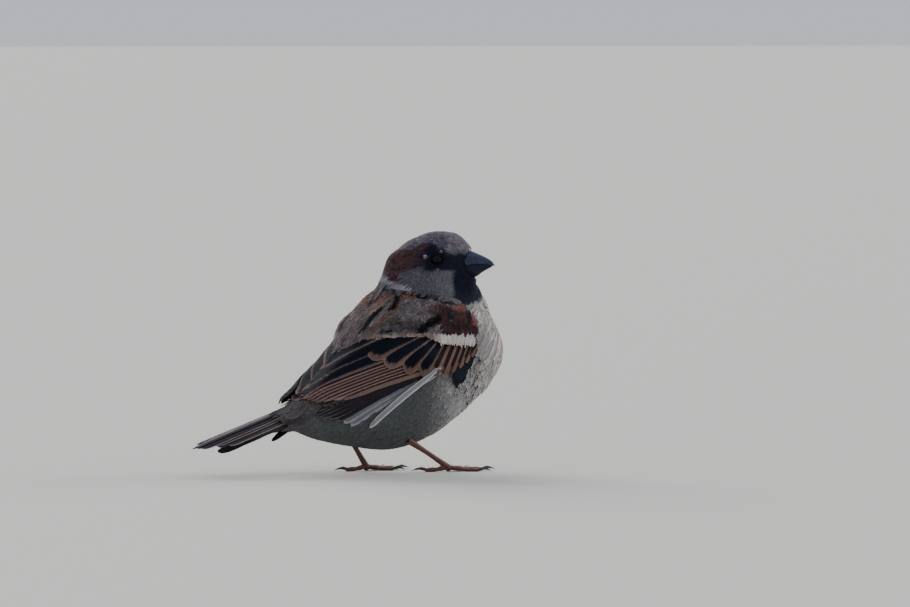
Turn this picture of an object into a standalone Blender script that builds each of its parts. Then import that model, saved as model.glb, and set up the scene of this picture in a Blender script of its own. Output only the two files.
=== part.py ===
"""A male house sparrow standing on the ground, life size, looking over its right shoulder.

Metres, +Z up. The bird's trunk faces +X and its left side is +Y. The origin is on the floor,
under the middle of the whole bird. The flesh is modelled whole, as crossing lofts that a voxel
remesh blends, and is then parted by thin cuts into head, neck, trunk and rump. Each wing is a
stack of thin curved plates laid over the side of the body, the tail is two halves that meet as a
low roof, and each leg is one blended solid parted at the foot, its toes flat underneath.
"""

import math

import bmesh
import bpy
from mathutils import Matrix, Vector
from mathutils.bvhtree import BVHTree

MM = 0.001
GAP = 0.3 * MM

# Where the head is and how far it is turned to the right, in the trunk's frame.
HEAD_CENTRE = Vector((9.2, -2.0, 79.0)) * MM
HEAD_TURN = math.radians(-44)

# The body's back line and belly line, each as (x, z), and its half width between them, in mm.
BODY = {
    "tail_base": ((-57.5, 23.2), (-57.5, 20.3), 5.6),
    "tail_coverts": ((-47.5, 28.8), (-48.0, 15.8), 9.0),
    "rump": ((-40.5, 36.2), (-39.0, 12.5), 13.0),
    "lower_back": ((-33.0, 45.5), (-24.0, 9.6), 17.5),
    "mid_back": ((-26.5, 53.5), (-8.0, 8.3), 20.5),
    "upper_back": ((-20.0, 61.0), (8.5, 13.5), 21.5),
    "shoulder": ((-15.0, 66.5), (25.0, 26.0), 20.5),
    "breast": ((-11.5, 71.5), (37.0, 43.0), 18.5),
    "neck": ((-9.0, 77.0), (34.5, 57.0), 15.5),
    "throat": ((-7.0, 82.0), (28.5, 69.0), 12.5),
    "nape": ((-1.0, 85.5), (20.0, 77.0), 7.5),
}

# The hidden surface the wings are laid over follows the body, and runs on behind it.
WING_LIFT = 0.9 * MM
WING_REST_BEHIND = (
    ((-74.0, 20.5), (-66.0, 3.0), 9.0),
    ((-61.0, 25.5), (-54.0, 6.0), 11.0),
    ((-50.5, 31.0), (-44.0, 8.0), 13.0),
    ((-41.8, 38.2), (-36.0, 9.5), 15.0),
)

# The head along its own axis: distance from its centre, crown height, chin height, half width.
HEAD = (
    (-17.0, -0.5, -5.0, 3.5),
    (-14.5, 3.6, -9.5, 7.6),
    (-9.0, 8.2, -13.0, 10.6),
    (-2.0, 11.8, -13.5, 11.8),
    (5.0, 12.3, -13.5, 10.8),
    (10.0, 10.5, -13.5, 8.4),
    (13.5, 7.4, -13.0, 5.9),
    (15.8, 4.4, -11.5, 3.8),
    (17.0, 1.0, -8.0, 2.0),
)

# The bill along the head's axis: distance, culmen, cutting edge, underside, half width.
BILL = (
    (10.8, 4.3, -2.4, -4.6, 4.0),
    (12.6, 4.6, -1.5, -5.2, 4.5),
    (14.6, 4.4, -0.7, -5.2, 4.2),
    (17.4, 3.4, -0.3, -4.6, 3.5),
    (20.0, 2.2, -0.3, -3.0, 2.5),
    (22.0, 1.0, -0.6, -1.9, 1.35),
    (23.4, -0.2, -0.9, -1.4, 0.5),
)
UPPER_BILL_REACH = 0.5 * MM

EYE_RADIUS = 2.5 * MM
EYE_AT = (3.9, 9.1, 1.7)

# The wing's plane leans in over the back; layouts on it are (x, up the wing), in mm.
WING_LEAN = math.radians(35)
WING_BEND = Vector((21.0, 28.0))
LEFT_WING_RAISE = math.radians(0.5)
MIDLINE_CLEAR = 1.0 * MM

# Each plate: its root line and its tip line, both from the upper edge to the lower.
PRIMARIES = {
    "roots": ((10.0, 23.5), (9.0, 20.0), (7.0, 17.2)),
    "tips": ((-43.5, 15.5), (-47.0, 12.5), (-45.5, 9.0), (-39.0, 7.6), (-33.5, 7.0)),
    "scallops": 4,
    "thick": 1.0,
}
LONG_PRIMARIES = {
    "roots": ((10.0, 23.5), (9.0, 20.0), (7.0, 17.2)),
    "tips": ((-47.0, 21.5), (-53.0, 20.5), (-54.0, 17.0), (-49.0, 13.4), (-39.0, 10.5)),
    "scallops": 4,
    "thick": 1.0,
}
INNER_FLIGHT = {
    "roots": ((-18.0, 34.5), (-15.0, 29.0), (-8.0, 23.5), (1.0, 20.0)),
    "tips": ((-34.5, 33.5), (-43.5, 26.5), (-48.5, 20.0), (-44.0, 14.0), (-33.0, 13.4)),
    "scallops": 5,
    "thick": 1.0,
}
LEFT_INNER_FLIGHT = {
    **INNER_FLIGHT,
    "tips": ((-32.5, 33.5), (-39.5, 27.0), (-44.0, 20.0), (-42.0, 14.5), (-33.0, 13.4)),
}
COVERTS = {
    "roots": ((8.0, 44.0), (18.0, 42.5), (23.5, 37.0), (23.0, 29.0), (18.5, 22.0), (11.5, 17.0)),
    "tips": ((-23.0, 35.0), (-25.5, 29.0), (-20.5, 22.5), (-12.0, 18.8), (-2.0, 17.6), (7.0, 16.2)),
    "scallops": 7,
    "thick": 1.1,
}
SCAPULARS = {
    "roots": ((-10.0, 49.8), (1.0, 47.2), (9.5, 44.8), (15.0, 41.5)),
    "tips": ((-22.0, 50.0), (-27.5, 36.5), (-16.0, 31.8), (-2.0, 31.5)),
    "scallops": 3,
    "thick": 1.0,
}
STRAY_PRIMARY = {
    "roots": ((-4.0, 18.3), (-2.0, 16.8)),
    "tips": ((-26.3, 7.2), (-25.3, 5.3)),
    "scallops": 0,
    "thick": 0.9,
}

# The tail: where it grows from, how it slopes and rolls, and each half's outline in mm.
TAIL_ROOT = Vector((-36.0, 0.0, 29.2)) * MM
TAIL_SLOPE = math.radians(18.5)
TAIL_ROLL = math.radians(12)
TAIL_ROOF = math.radians(13)
TAIL_THICK = 1.0 * MM
TAIL_HALF = {
    "roots": ((14.0, 0.25), (14.0, 3.5), (14.5, 7.2)),
    "tips": ((50.0, 0.25), (52.5, 2.8), (54.2, 5.6), (52.3, 8.6)),
}
LEFT_TAIL_LONGER = 3.6
UNDERTAIL_ROOT = Vector((-51.0, -3.0, 20.2)) * MM
UNDERTAIL_SLOPE = math.radians(35)
UNDERTAIL_OUTLINE = {
    "roots": ((0.0, -1.6), (0.0, 0.0), (0.0, 1.6)),
    "tips": ((11.0, -0.6), (12.6, 0.0), (11.0, 0.6)),
}

# Where each leg's ankle and foot are, which way the foot points, and its toes.
LEGS = {
    "right": (Vector((-6.3, -10.0, 12.4)) * MM, Vector((11.4, -10.0, 1.6)) * MM, -8.0),
    "left": (Vector((-24.0, 9.5, 17.5)) * MM, Vector((-12.7, 10.5, 1.6)) * MM, 6.0),
}
TOES = {"inner": (32, 10.0, 0.8), "middle": (2, 14.0, 0.9), "outer": (-27, 11.5, 0.8), "hind": (180, 9.0, 0.95)}
CLAW_LENGTH = {"inner": 4.2, "middle": 4.8, "outer": 4.2, "hind": 5.2}
SOLE_DEPTH = 0.14 * MM
FOOT_TOP = 3.3 * MM

FINISHES = {
    "grey_feather": ((0.33, 0.31, 0.29), 0.85),
    "pale_feather": ((0.48, 0.46, 0.43), 0.85),
    "rump_feather": ((0.30, 0.26, 0.22), 0.85),
    "chestnut_feather": ((0.27, 0.12, 0.06), 0.8),
    "streaked_feather": ((0.22, 0.15, 0.10), 0.8),
    "dark_feather": ((0.07, 0.055, 0.05), 0.75),
    "tail_feather": ((0.12, 0.09, 0.07), 0.75),
    "white_feather": ((0.62, 0.60, 0.56), 0.8),
    "bill_horn": ((0.015, 0.017, 0.022), 0.35),
    "dark_eye": ((0.012, 0.008, 0.006), 0.08),
    "leg_scale": ((0.30, 0.15, 0.11), 0.55),
    "claw_horn": ((0.06, 0.045, 0.04), 0.4),
}


def clear_scene():
    for obj in list(bpy.data.objects):
        bpy.data.objects.remove(obj)


def link_mesh(name, mesh):
    obj = bpy.data.objects.new(name, mesh)
    bpy.context.scene.collection.objects.link(obj)
    return obj


def add_mesh(name, points, faces):
    """A new object from points and faces, its normals made to point outwards."""
    mesh = bpy.data.meshes.new(name)
    mesh.from_pydata([tuple(p) for p in points], [], faces)
    shape = bmesh.new()
    shape.from_mesh(mesh)
    bmesh.ops.recalc_face_normals(shape, faces=shape.faces)
    shape.to_mesh(mesh)
    shape.free()
    return link_mesh(name, mesh)


def hide(obj):
    """Marks a guide or cutter, so that it is not part of the bird."""
    obj.hide_render = True
    obj.display_type = "WIRE"
    return obj


def cubic(values, t):
    """A smooth curve through equally spaced values, read at t from 0 to 1."""
    spans = len(values) - 1
    place = min(max(t, 0.0), 1.0) * spans
    i = min(int(place), spans - 1)
    f = place - i
    a, b = values[i], values[i + 1]
    before = values[i - 1] if i > 0 else 2 * a - b
    after = values[i + 2] if i + 2 <= spans else 2 * b - a
    return 0.5 * (
        2 * a
        + (b - before) * f
        + (2 * before - 5 * a + 4 * b - after) * f * f
        + (3 * a - before - 3 * b + after) * f**3
    )


def ring_faces(rings, sides):
    """Faces of a closed tube of rings, with a cap at each end."""
    faces = [
        (
            ring * sides + side,
            ring * sides + (side + 1) % sides,
            (ring + 1) * sides + (side + 1) % sides,
            (ring + 1) * sides + side,
        )
        for ring in range(rings - 1)
        for side in range(sides)
    ]
    faces.append(tuple(range(sides)))
    faces.append(tuple((rings - 1) * sides + side for side in range(sides)))
    return faces


def loft(name, sections, rings, sides, place=Matrix.Identity(4)):
    """A closed skin over elliptical sections, each (top point, bottom point, half width vector)."""
    tops, bottoms, halves = zip(*sections)
    points = []
    for ring in range(rings):
        t = ring / (rings - 1)
        top, bottom, half = (cubic(line, t) for line in (tops, bottoms, halves))
        middle, rise = (top + bottom) / 2, (top - bottom) / 2
        for side in range(sides):
            angle = 2 * math.pi * side / sides
            points.append(place @ (middle + rise * math.cos(angle) + half * math.sin(angle)))
    return add_mesh(name, points, ring_faces(rings, sides))


def tube(name, centres, radii, rings, sides):
    """A closed round tube along a smooth line of centres."""
    points = []
    for ring in range(rings):
        t = ring / (rings - 1)
        along = cubic(centres, t + 0.01) - cubic(centres, t - 0.01)
        wide = along.cross(Vector((0, 0, 1))).normalized()
        tall = wide.cross(along).normalized()
        centre, radius = cubic(centres, t), cubic(radii, t)
        for side in range(sides):
            angle = 2 * math.pi * side / sides
            points.append(centre + (wide * math.cos(angle) + tall * math.sin(angle)) * radius)
    return add_mesh(name, points, ring_faces(rings, sides))


def ball(name, centre, radius, rings, sides):
    """A closed ball, as a loft of circles."""
    points = [centre + Vector((0, 0, radius))]
    for ring in range(1, rings):
        lean = math.pi * ring / rings
        for side in range(sides):
            angle = 2 * math.pi * side / sides
            spoke = Vector((math.sin(lean) * math.cos(angle), math.sin(lean) * math.sin(angle), math.cos(lean)))
            points.append(centre + spoke * radius)
    points.append(centre - Vector((0, 0, radius)))
    last = len(points) - 1
    faces = []
    for side in range(sides):
        after = (side + 1) % sides
        faces.append((0, 1 + side, 1 + after))
        faces.append((last, last - sides + after, last - sides + side))
        for ring in range(rings - 2):
            row = 1 + ring * sides
            faces.append((row + side, row + sides + side, row + sides + after, row + after))
    return add_mesh(name, points, faces)


def settle(obj):
    """Applies an object's modifiers, so that its mesh can be worked on further."""
    graph = bpy.context.evaluated_depsgraph_get()
    mesh = bpy.data.meshes.new_from_object(obj.evaluated_get(graph), depsgraph=graph)
    obj.modifiers.clear()
    obj.data = mesh
    return obj


def cut(obj, cutter):
    """Takes the cutter's shape out of a solid."""
    step = obj.modifiers.new("cut", "BOOLEAN")
    step.operation = "DIFFERENCE"
    step.solver = "EXACT"
    step.object = cutter
    return settle(obj)


def grown(obj, grow):
    """A hidden copy of a solid, larger all round by grow, for cutting its neighbours clear of it."""
    mesh = obj.data.copy()
    mesh.name = obj.name + "_room"
    normals = [v.normal.copy() for v in mesh.vertices]
    for vertex, normal in zip(mesh.vertices, normals):
        vertex.co += normal * grow
    return hide(link_mesh(mesh.name, mesh))


def blend(name, parts, voxel, smoothing, triangles):
    """One smooth closed surface around crossing parts."""
    shape = bmesh.new()
    for part in parts:
        shape.from_mesh(part.data)
        bpy.data.objects.remove(part)
    mesh = bpy.data.meshes.new(name)
    shape.to_mesh(mesh)
    shape.free()
    whole = hide(link_mesh(name, mesh))
    remesh = whole.modifiers.new("blend", "REMESH")
    remesh.mode = "VOXEL"
    remesh.voxel_size = voxel
    smooth = whole.modifiers.new("smooth", "SMOOTH")
    smooth.factor = 0.5
    smooth.iterations = smoothing
    settle(whole)
    thin = whole.modifiers.new("thin", "DECIMATE")
    whole.data.calc_loop_triangles()
    thin.ratio = triangles / len(whole.data.loop_triangles)
    return settle(whole)


def part_between(whole, name, planes):
    """The piece of a solid on the side of each (point, normal) plane its normal points to."""
    shape = bmesh.new()
    shape.from_mesh(whole.data)
    for point, normal in planes:
        normal = normal.normalized()
        found = bmesh.ops.bisect_plane(
            shape,
            geom=shape.verts[:] + shape.edges[:] + shape.faces[:],
            dist=1e-7,
            plane_co=point,
            plane_no=normal,
            clear_inner=True,
        )
        rim = [g for g in found["geom_cut"] if isinstance(g, bmesh.types.BMEdge)]
        bmesh.ops.holes_fill(shape, edges=rim, sides=0)
    bmesh.ops.triangulate(shape, faces=[f for f in shape.faces if len(f.verts) > 4])
    mesh = bpy.data.meshes.new(name)
    shape.to_mesh(mesh)
    shape.free()
    return link_mesh(name, mesh)


def clear_of(plane):
    """The plane's two sides, each moved back by half the gap: (ahead, behind)."""
    point, normal = plane
    normal = normal.normalized()
    return (point + normal * GAP / 2, normal), (point - normal * GAP / 2, -normal)


def head_frame():
    return Matrix.Translation(HEAD_CENTRE) @ Matrix.Rotation(HEAD_TURN, 4, "Z")


def section(back, belly, half, grow):
    """One body section as loft takes it, larger all round by grow."""
    top, bottom = Vector((back[0], 0, back[1])) * MM, Vector((belly[0], 0, belly[1])) * MM
    out = (top - bottom).normalized() * grow
    return top + out, bottom - out, Vector((0, half * MM + grow, 0))


def build_flesh():
    """The feathered flesh, whole."""
    head_sections = [
        (Vector((s, 0, top)) * MM, Vector((s, 0, low)) * MM, Vector((0, half, 0)) * MM)
        for s, top, low, half in HEAD
    ]
    body = loft("body", [section(*row, 0) for row in BODY.values()], 48, 36)
    head = loft("skull", head_sections, 30, 32, head_frame())
    return blend("flesh", [body, head], 0.9 * MM, 10, 1900)


def build_wing_rest():
    """The hidden surface that the wings are laid over."""
    rows = [section(*row, 0) for row in WING_REST_BEHIND]
    rows += [section(*row, WING_LIFT) for row in list(BODY.values())[3:]]
    return hide(loft("wing_rest", rows, 70, 60))


class WingPlane:
    """The leaning plane a wing is laid out on, and the surfaces its plates rest on."""

    def __init__(self, side, rest, flesh):
        self.side = side
        self.out = Vector((0, side * math.cos(WING_LEAN), math.sin(WING_LEAN)))
        self.up = Vector((0, -side * math.sin(WING_LEAN), math.cos(WING_LEAN)))
        self.turn = Matrix.Rotation(-LEFT_WING_RAISE if side > 0 else 0.0, 2)
        self.rest = self.tree([rest])
        self.under = [flesh]
        self.below = self.tree(self.under)

    @staticmethod
    def tree(objects):
        points, faces = [], []
        for obj in objects:
            base = len(points)
            points += [v.co.copy() for v in obj.data.vertices]
            faces += [[base + i for i in face.vertices] for face in obj.data.polygons]
        return BVHTree.FromPolygons(points, faces)

    def place(self, spot, height):
        return Vector((spot[0], 0, 0)) + self.up * spot[1] + self.out * height

    def height(self, tree, spot):
        """How far out from the plane a surface lies at a spot, or None off its edge."""
        far = 0.2
        found = tree.ray_cast(self.place(spot, far), -self.out)
        return None if found[0] is None else far - found[3]

    def settle_spot(self, spot):
        """The spot turned for a raised wing, and kept on its own side of the bird's back."""
        spot = (WING_BEND + self.turn @ (Vector(spot) - WING_BEND)) * MM
        for _ in range(12):
            height = self.height(self.rest, spot)
            side_y = self.place(spot, height).y * self.side
            if side_y >= MIDLINE_CLEAR:
                break
            spot = spot - Vector((0, max(MIDLINE_CLEAR - side_y, 0.1 * MM)))
        return spot

    def underside(self, spot, reach):
        """The height a plate's underside takes, clear of all it covers within reach."""
        rise = 0.0
        for step in range(17):
            angle = step * math.pi / 4
            nearby = spot + Vector((math.cos(angle), math.sin(angle))) * reach * math.ceil(step / 8) / 2
            rest, below = self.height(self.rest, nearby), self.height(self.below, nearby)
            if rest is not None and below is not None:
                rise = max(rise, below - rest)
        return self.height(self.rest, spot) + rise + GAP * 1.6

    def plate(self, name, roots, tips, scallops, thick, rows=8, columns=8):
        """A thin curved plate from a root line to a tip line, its tips scalloped by feather."""
        root_line, tip_line = [Vector(p) for p in roots], [Vector(p) for p in tips]
        tops, lows = [], []
        for row in range(rows + 1):
            for column in range(columns + 1):
                across = column / columns
                root, tip = cubic(root_line, across), cubic(tip_line, across)
                notch = 1.2 * abs(math.cos(math.pi * scallops * across)) if scallops else 0
                tip = tip + (root - tip).normalized() * notch
                spot = self.settle_spot(root.lerp(tip, row / rows))
                low = self.underside(spot, 3.0 * MM)
                edge = min(row, rows - row, column, columns - column)
                body = thick * MM * (0.7 if edge == 0 else 1.0)
                lows.append(self.place(spot, low))
                tops.append(self.place(spot, low + body))
        faces = []
        wide, count = columns + 1, len(tops)
        for row in range(rows):
            for column in range(columns):
                a = row * wide + column
                faces.append((a, a + 1, a + wide + 1, a + wide))
                faces.append((count + a, count + a + wide, count + a + wide + 1, count + a + 1))
        rim = list(range(wide)) + [r * wide + columns for r in range(1, rows + 1)]
        rim += [rows * wide + c for c in range(columns - 1, -1, -1)] + [r * wide for r in range(rows - 1, 0, -1)]
        for a, b in zip(rim, rim[1:] + rim[:1]):
            faces.append((a, b, count + b, count + a))
        plate = add_mesh(name, tops + lows, faces)
        self.under.append(plate)
        self.below = self.tree(self.under)
        return plate


def build_wing(side, rest, flesh):
    """One folded wing and the shoulder feathers over it, laid from the flight feathers outwards."""
    hand = "left" if side > 0 else "right"
    plane = WingPlane(side, rest, flesh)
    primaries, inner = (LONG_PRIMARIES, LEFT_INNER_FLIGHT) if side > 0 else (PRIMARIES, INNER_FLIGHT)
    made = [
        (plane.plate("primaries_" + hand, **primaries), "dark_feather"),
        (plane.plate("inner_flight_" + hand, **inner), "streaked_feather"),
    ]
    if side < 0:
        stray = plane.plate("stray_primary_right", **STRAY_PRIMARY, rows=7, columns=2)
        made.append((stray, "white_feather"))
    made.append((plane.plate("coverts_" + hand, **COVERTS, columns=12), "chestnut_feather"))
    made.append((plane.plate("scapulars_" + hand, **SCAPULARS), "streaked_feather"))
    return made


def bill_ring(row, first, last, count, grow, shift):
    """Points round part of one bill section, between two angles from its left corner."""
    s, top, edge, low, half = row
    ring = []
    for step in range(count):
        angle = first + (last - first) * step / (count - 1)
        tall = (top - edge) if math.sin(angle) >= 0 else (edge - low)
        side, rise = half * math.cos(angle) * MM, tall * math.sin(angle) * MM
        ring.append(Vector((s * MM, side, edge * MM + rise + shift)) + Vector((0, math.cos(angle), math.sin(angle))) * grow)
    return ring


def bill_part(name, first, last, count, grow=0.0, shift=0.0, longer=0.0):
    """A loft along the bill of the part of its section between two angles."""
    rings = 10
    points = []
    for ring in range(rings):
        row = [cubic([r[i] for r in BILL], ring / (rings - 1)) for i in range(5)]
        if ring == rings - 1:
            row[0] += longer
        points += bill_ring(row, first, last, count, grow, shift)
    place = head_frame()
    return add_mesh(name, [place @ p for p in points], ring_faces(rings, count))


def build_bill():
    """Both mandibles, and the hidden shape of the room they need in the head."""
    split = 0.12 * MM
    upper = bill_part("bill_upper", 0, math.pi, 10, shift=split, longer=0.5)
    lower = bill_part("bill_lower", math.pi, 2 * math.pi, 10, shift=-split)
    room = hide(bill_part("bill_room", 0, 2 * math.pi * 17 / 18, 18, grow=GAP))
    return upper, lower, room


def eye_centre(side):
    return head_frame() @ (Vector((EYE_AT[0], side * EYE_AT[1], EYE_AT[2])) * MM)


def build_head(flesh, planes):
    """The head cut from the flesh, with room for the eyes and the bill, and those in it."""
    upper, lower, room = build_bill()
    head = cut(part_between(flesh, "head", planes), room)
    made = [(upper, "bill_horn"), (lower, "bill_horn")]
    for side, hand in ((1, "left"), (-1, "right")):
        eye = ball("eye_" + hand, eye_centre(side), EYE_RADIUS, 9, 14)
        socket = hide(ball("socket_" + hand, eye_centre(side), EYE_RADIUS + GAP / 2, 9, 14))
        cut(head, socket)
        made.append((eye, "dark_eye"))
    made.append((head, "grey_feather"))
    return made


def build_tail(rump):
    """The tail's two halves and the odd feather under its base."""
    along = Vector((-math.cos(TAIL_SLOPE), 0, -math.sin(TAIL_SLOPE)))
    level_up = Vector((-math.sin(TAIL_SLOPE), 0, math.cos(TAIL_SLOPE)))
    room = grown(rump, GAP)
    made = []
    for side, hand in ((1, "left"), (-1, "right")):
        tilt = side * TAIL_ROLL - TAIL_ROOF
        across = Vector((0, side, 0)) * math.cos(tilt) + level_up * math.sin(tilt)
        up = level_up * math.cos(tilt) - Vector((0, side, 0)) * math.sin(tilt)
        root_line = [Vector(p) for p in TAIL_HALF["roots"]]
        tip_line = [Vector(p) for p in TAIL_HALF["tips"]]
        if side > 0:
            tip_line = [p + Vector((LEFT_TAIL_LONGER, 0)) for p in tip_line]
        half = flat_plate("tail_" + hand, TAIL_ROOT, along, across, up, root_line, tip_line, TAIL_THICK)
        made.append((cut(half, room), "tail_feather"))
    down = Vector((-math.cos(UNDERTAIL_SLOPE), 0, -math.sin(UNDERTAIL_SLOPE)))
    across = Vector((0, -0.8, -0.6))
    lines = [[Vector(p) for p in UNDERTAIL_OUTLINE[line]] for line in ("roots", "tips")]
    odd = flat_plate("undertail_feather", UNDERTAIL_ROOT, down, across, across.cross(down), *lines, 0.8 * MM)
    made.append((cut(odd, room), "dark_feather"))
    return made


def flat_plate(name, origin, along, across, up, root_line, tip_line, thick, rows=6, columns=4):
    """A thin plate with a low camber between a root line and a tip line, given along and across."""
    tops, lows = [], []
    for row in range(rows + 1):
        for column in range(columns + 1):
            spot = cubic(root_line, column / columns).lerp(cubic(tip_line, column / columns), row / rows)
            camber = 0.6 * MM * math.sin(math.pi * column / columns)
            low = origin + (along * spot.x + across * spot.y) * MM + up * (camber - thick / 2)
            lows.append(low)
            tops.append(low + up * thick)
    faces = []
    wide, count = columns + 1, len(tops)
    for row in range(rows):
        for column in range(columns):
            a = row * wide + column
            faces.append((a, a + 1, a + wide + 1, a + wide))
            faces.append((count + a, count + a + wide, count + a + wide + 1, count + a + 1))
    rim = list(range(wide)) + [r * wide + columns for r in range(1, rows + 1)]
    rim += [rows * wide + c for c in range(columns - 1, -1, -1)] + [r * wide for r in range(rows - 1, 0, -1)]
    for a, b in zip(rim, rim[1:] + rim[:1]):
        faces.append((a, b, count + b, count + a))
    return add_mesh(name, tops + lows, faces)


def toe_line(foot, heading, length, radius):
    """A toe's centre line from the foot's middle out, low enough that its pads press flat."""
    reach = Vector((math.cos(heading), math.sin(heading), 0))
    heights = (foot.z, radius * MM + 0.35 * MM, radius * MM - SOLE_DEPTH, radius * MM * 0.9 - SOLE_DEPTH)
    steps = (0.0, 0.25, 0.6, 1.0)
    return [
        Vector((foot.x, foot.y, 0)) + reach * length * step * MM + Vector((0, 0, height))
        for step, height in zip(steps, heights)
    ]


def build_leg(hand, room):
    """A bare leg from the belly's feathers down: shank, foot with four toes, and claws."""
    ankle, foot, heading = LEGS[hand]
    inward = 1 if hand == "right" else -1
    shank = tube("shank_line", [ankle, ankle.lerp(foot, 0.5), foot], [1.15 * MM, 0.95 * MM, 1.25 * MM], 14, 12)
    hub = ball("hub", foot - Vector((0, 0, 0.2 * MM)), 1.45 * MM, 8, 12)
    parts, claws = [shank, hub], []
    for toe, (spread, length, radius) in TOES.items():
        angle = math.radians(heading + inward * spread)
        line = toe_line(foot, angle, length, radius)
        radii = [r * radius * MM for r in (1.25, 0.95, 1.05, 0.85, 1.0, 0.75)]
        parts.append(tube(toe, line, radii, 16, 12))
        parts.append(ball(toe + "_tip", line[-1], radius * 0.8 * MM, 8, 10))
        claws.append((build_claw(f"claw_{toe}_{hand}", line[-1], angle, radius, CLAW_LENGTH[toe]), "claw_horn"))
    whole = blend("leg_" + hand, parts, 0.2 * MM, 2, 400)
    floor = (Vector((0, 0, 0)), Vector((0, 0, 1)))
    above, below = clear_of((Vector((0, 0, FOOT_TOP)), Vector((0, 0, 1))))
    shin = cut(part_between(whole, "shank_" + hand, [above]), room)
    paw = part_between(whole, "foot_" + hand, [floor, below])
    return [(shin, "leg_scale"), (paw, "leg_scale")] + claws


def build_claw(name, toe_tip, angle, radius, length):
    """A curved claw standing just off the end of its toe, its point just above the floor."""
    ahead = Vector((math.cos(angle), math.sin(angle), 0))
    start = radius * 0.8 + 0.3
    rises = (0.1, 0.45, 0.1, -0.3)
    centre = toe_tip + Vector((0, 0, 0.15 * MM))
    line = [
        centre + ahead * (start + length * step) * MM + Vector((0, 0, rise * MM))
        for step, rise in zip((0.0, 0.3, 0.65, 0.95), rises)
    ]
    return tube(name, line, [0.62 * MM, 0.58 * MM, 0.42 * MM, 0.27 * MM], 6, 6)


def finish(obj, kind):
    """Gives a part its material."""
    colour, roughness = FINISHES[kind]
    material = bpy.data.materials.get(kind) or bpy.data.materials.new(kind)
    material.use_nodes = True
    surface = material.node_tree.nodes["Principled BSDF"]
    surface.inputs["Base Color"].default_value = (*colour, 1)
    surface.inputs["Roughness"].default_value = roughness
    surface.inputs["Metallic"].default_value = 0.0
    obj.data.materials.clear()
    obj.data.materials.append(material)


def stand_in_middle(parts):
    """Moves all parts so that the origin is under the middle of the bird, and gives each its own."""
    corners = [obj.data.vertices[i].co for obj in parts for i in range(len(obj.data.vertices))]
    low = Vector(min(c[axis] for c in corners) for axis in range(3))
    high = Vector(max(c[axis] for c in corners) for axis in range(3))
    shift = Vector(((low.x + high.x) / 2, (low.y + high.y) / 2, low.z))
    for obj in parts:
        centre = sum((v.co for v in obj.data.vertices), Vector()) / len(obj.data.vertices)
        obj.data.transform(Matrix.Translation(-centre))
        obj.location = centre - shift


def main():
    clear_scene()
    flesh = build_flesh()
    rest = build_wing_rest()
    neck_top = clear_of((Vector((8, 0, 69)) * MM, Vector((0.2, -0.2, 1))))
    neck_base = clear_of((Vector((8, 0, 62)) * MM, Vector((0.2, -0.05, 1))))
    rump_front = clear_of((Vector((-37, 0, 25)) * MM, Vector((-0.9, 0, -0.35))))
    made = build_head(flesh, [neck_top[0]])
    trunk = part_between(flesh, "trunk", [neck_base[1], rump_front[1]])
    rump = part_between(flesh, "rump", [rump_front[0]])
    made.append((part_between(flesh, "neck", [neck_base[0], neck_top[1]]), "pale_feather"))
    made += [(trunk, "pale_feather"), (rump, "rump_feather")]
    for side in (-1, 1):
        made += build_wing(side, rest, flesh)
    made += build_tail(rump)
    room = grown(trunk, GAP)
    for hand in LEGS:
        made += build_leg(hand, room)
    for obj, kind in made:
        finish(obj, kind)
    stand_in_middle([obj for obj, _ in made])


main()
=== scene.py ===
"""A male house sparrow at life size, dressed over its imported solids.

The solids of flesh give way to one skin that lies inside them by the depth of the plumage. Over it
lie the small body feathers, each a curved vane with its own barbs, that follow the lie of the
plumage from the bill to the tail. The folded wings and the tail are laid feather by feather, in
the order in which a real wing folds. The bill, eyes, lids, shanks, toes and claws are horn, wet
eye and scaled skin of their own.

All sizes here are in millimetres in the trunk's frame, with the trunk facing +X, the bird's left
on +Y and the floor at z = 0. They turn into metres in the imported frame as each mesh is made.
"""

from __future__ import annotations

import functools
import logging
import math
from dataclasses import dataclass, field
from enum import Enum
from typing import Callable

import bpy
import numpy as np
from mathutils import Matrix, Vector
from mathutils.bvhtree import BVHTree


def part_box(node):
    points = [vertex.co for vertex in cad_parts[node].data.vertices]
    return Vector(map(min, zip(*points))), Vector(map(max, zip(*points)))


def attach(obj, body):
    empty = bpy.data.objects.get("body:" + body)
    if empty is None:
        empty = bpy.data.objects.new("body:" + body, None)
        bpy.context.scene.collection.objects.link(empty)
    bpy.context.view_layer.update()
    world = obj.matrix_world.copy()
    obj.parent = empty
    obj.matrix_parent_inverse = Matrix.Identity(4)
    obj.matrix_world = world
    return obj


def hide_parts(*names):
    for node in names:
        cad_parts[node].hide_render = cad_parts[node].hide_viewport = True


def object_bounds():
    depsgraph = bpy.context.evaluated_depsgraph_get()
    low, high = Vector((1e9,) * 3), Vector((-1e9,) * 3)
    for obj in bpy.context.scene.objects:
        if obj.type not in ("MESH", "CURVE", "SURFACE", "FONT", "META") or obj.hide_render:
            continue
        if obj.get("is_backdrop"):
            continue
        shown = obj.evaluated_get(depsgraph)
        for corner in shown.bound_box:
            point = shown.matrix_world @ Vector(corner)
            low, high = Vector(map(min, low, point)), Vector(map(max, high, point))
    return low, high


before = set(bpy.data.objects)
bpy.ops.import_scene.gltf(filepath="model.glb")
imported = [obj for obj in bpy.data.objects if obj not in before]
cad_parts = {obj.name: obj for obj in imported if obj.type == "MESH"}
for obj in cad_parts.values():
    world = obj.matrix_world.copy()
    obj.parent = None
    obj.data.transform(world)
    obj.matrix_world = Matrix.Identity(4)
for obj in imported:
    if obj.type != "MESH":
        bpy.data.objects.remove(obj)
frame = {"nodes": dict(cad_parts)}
CAD_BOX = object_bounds()

LOG = logging.getLogger("sparrow")
# short names for the types that most functions take
Array = np.ndarray
Socket = bpy.types.NodeSocket
Source = Socket | float | tuple
Pair = tuple[float, float]
Triple = tuple[float, float, float]
MM = 0.001
SEED = 7031


# ---- small tools


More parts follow.
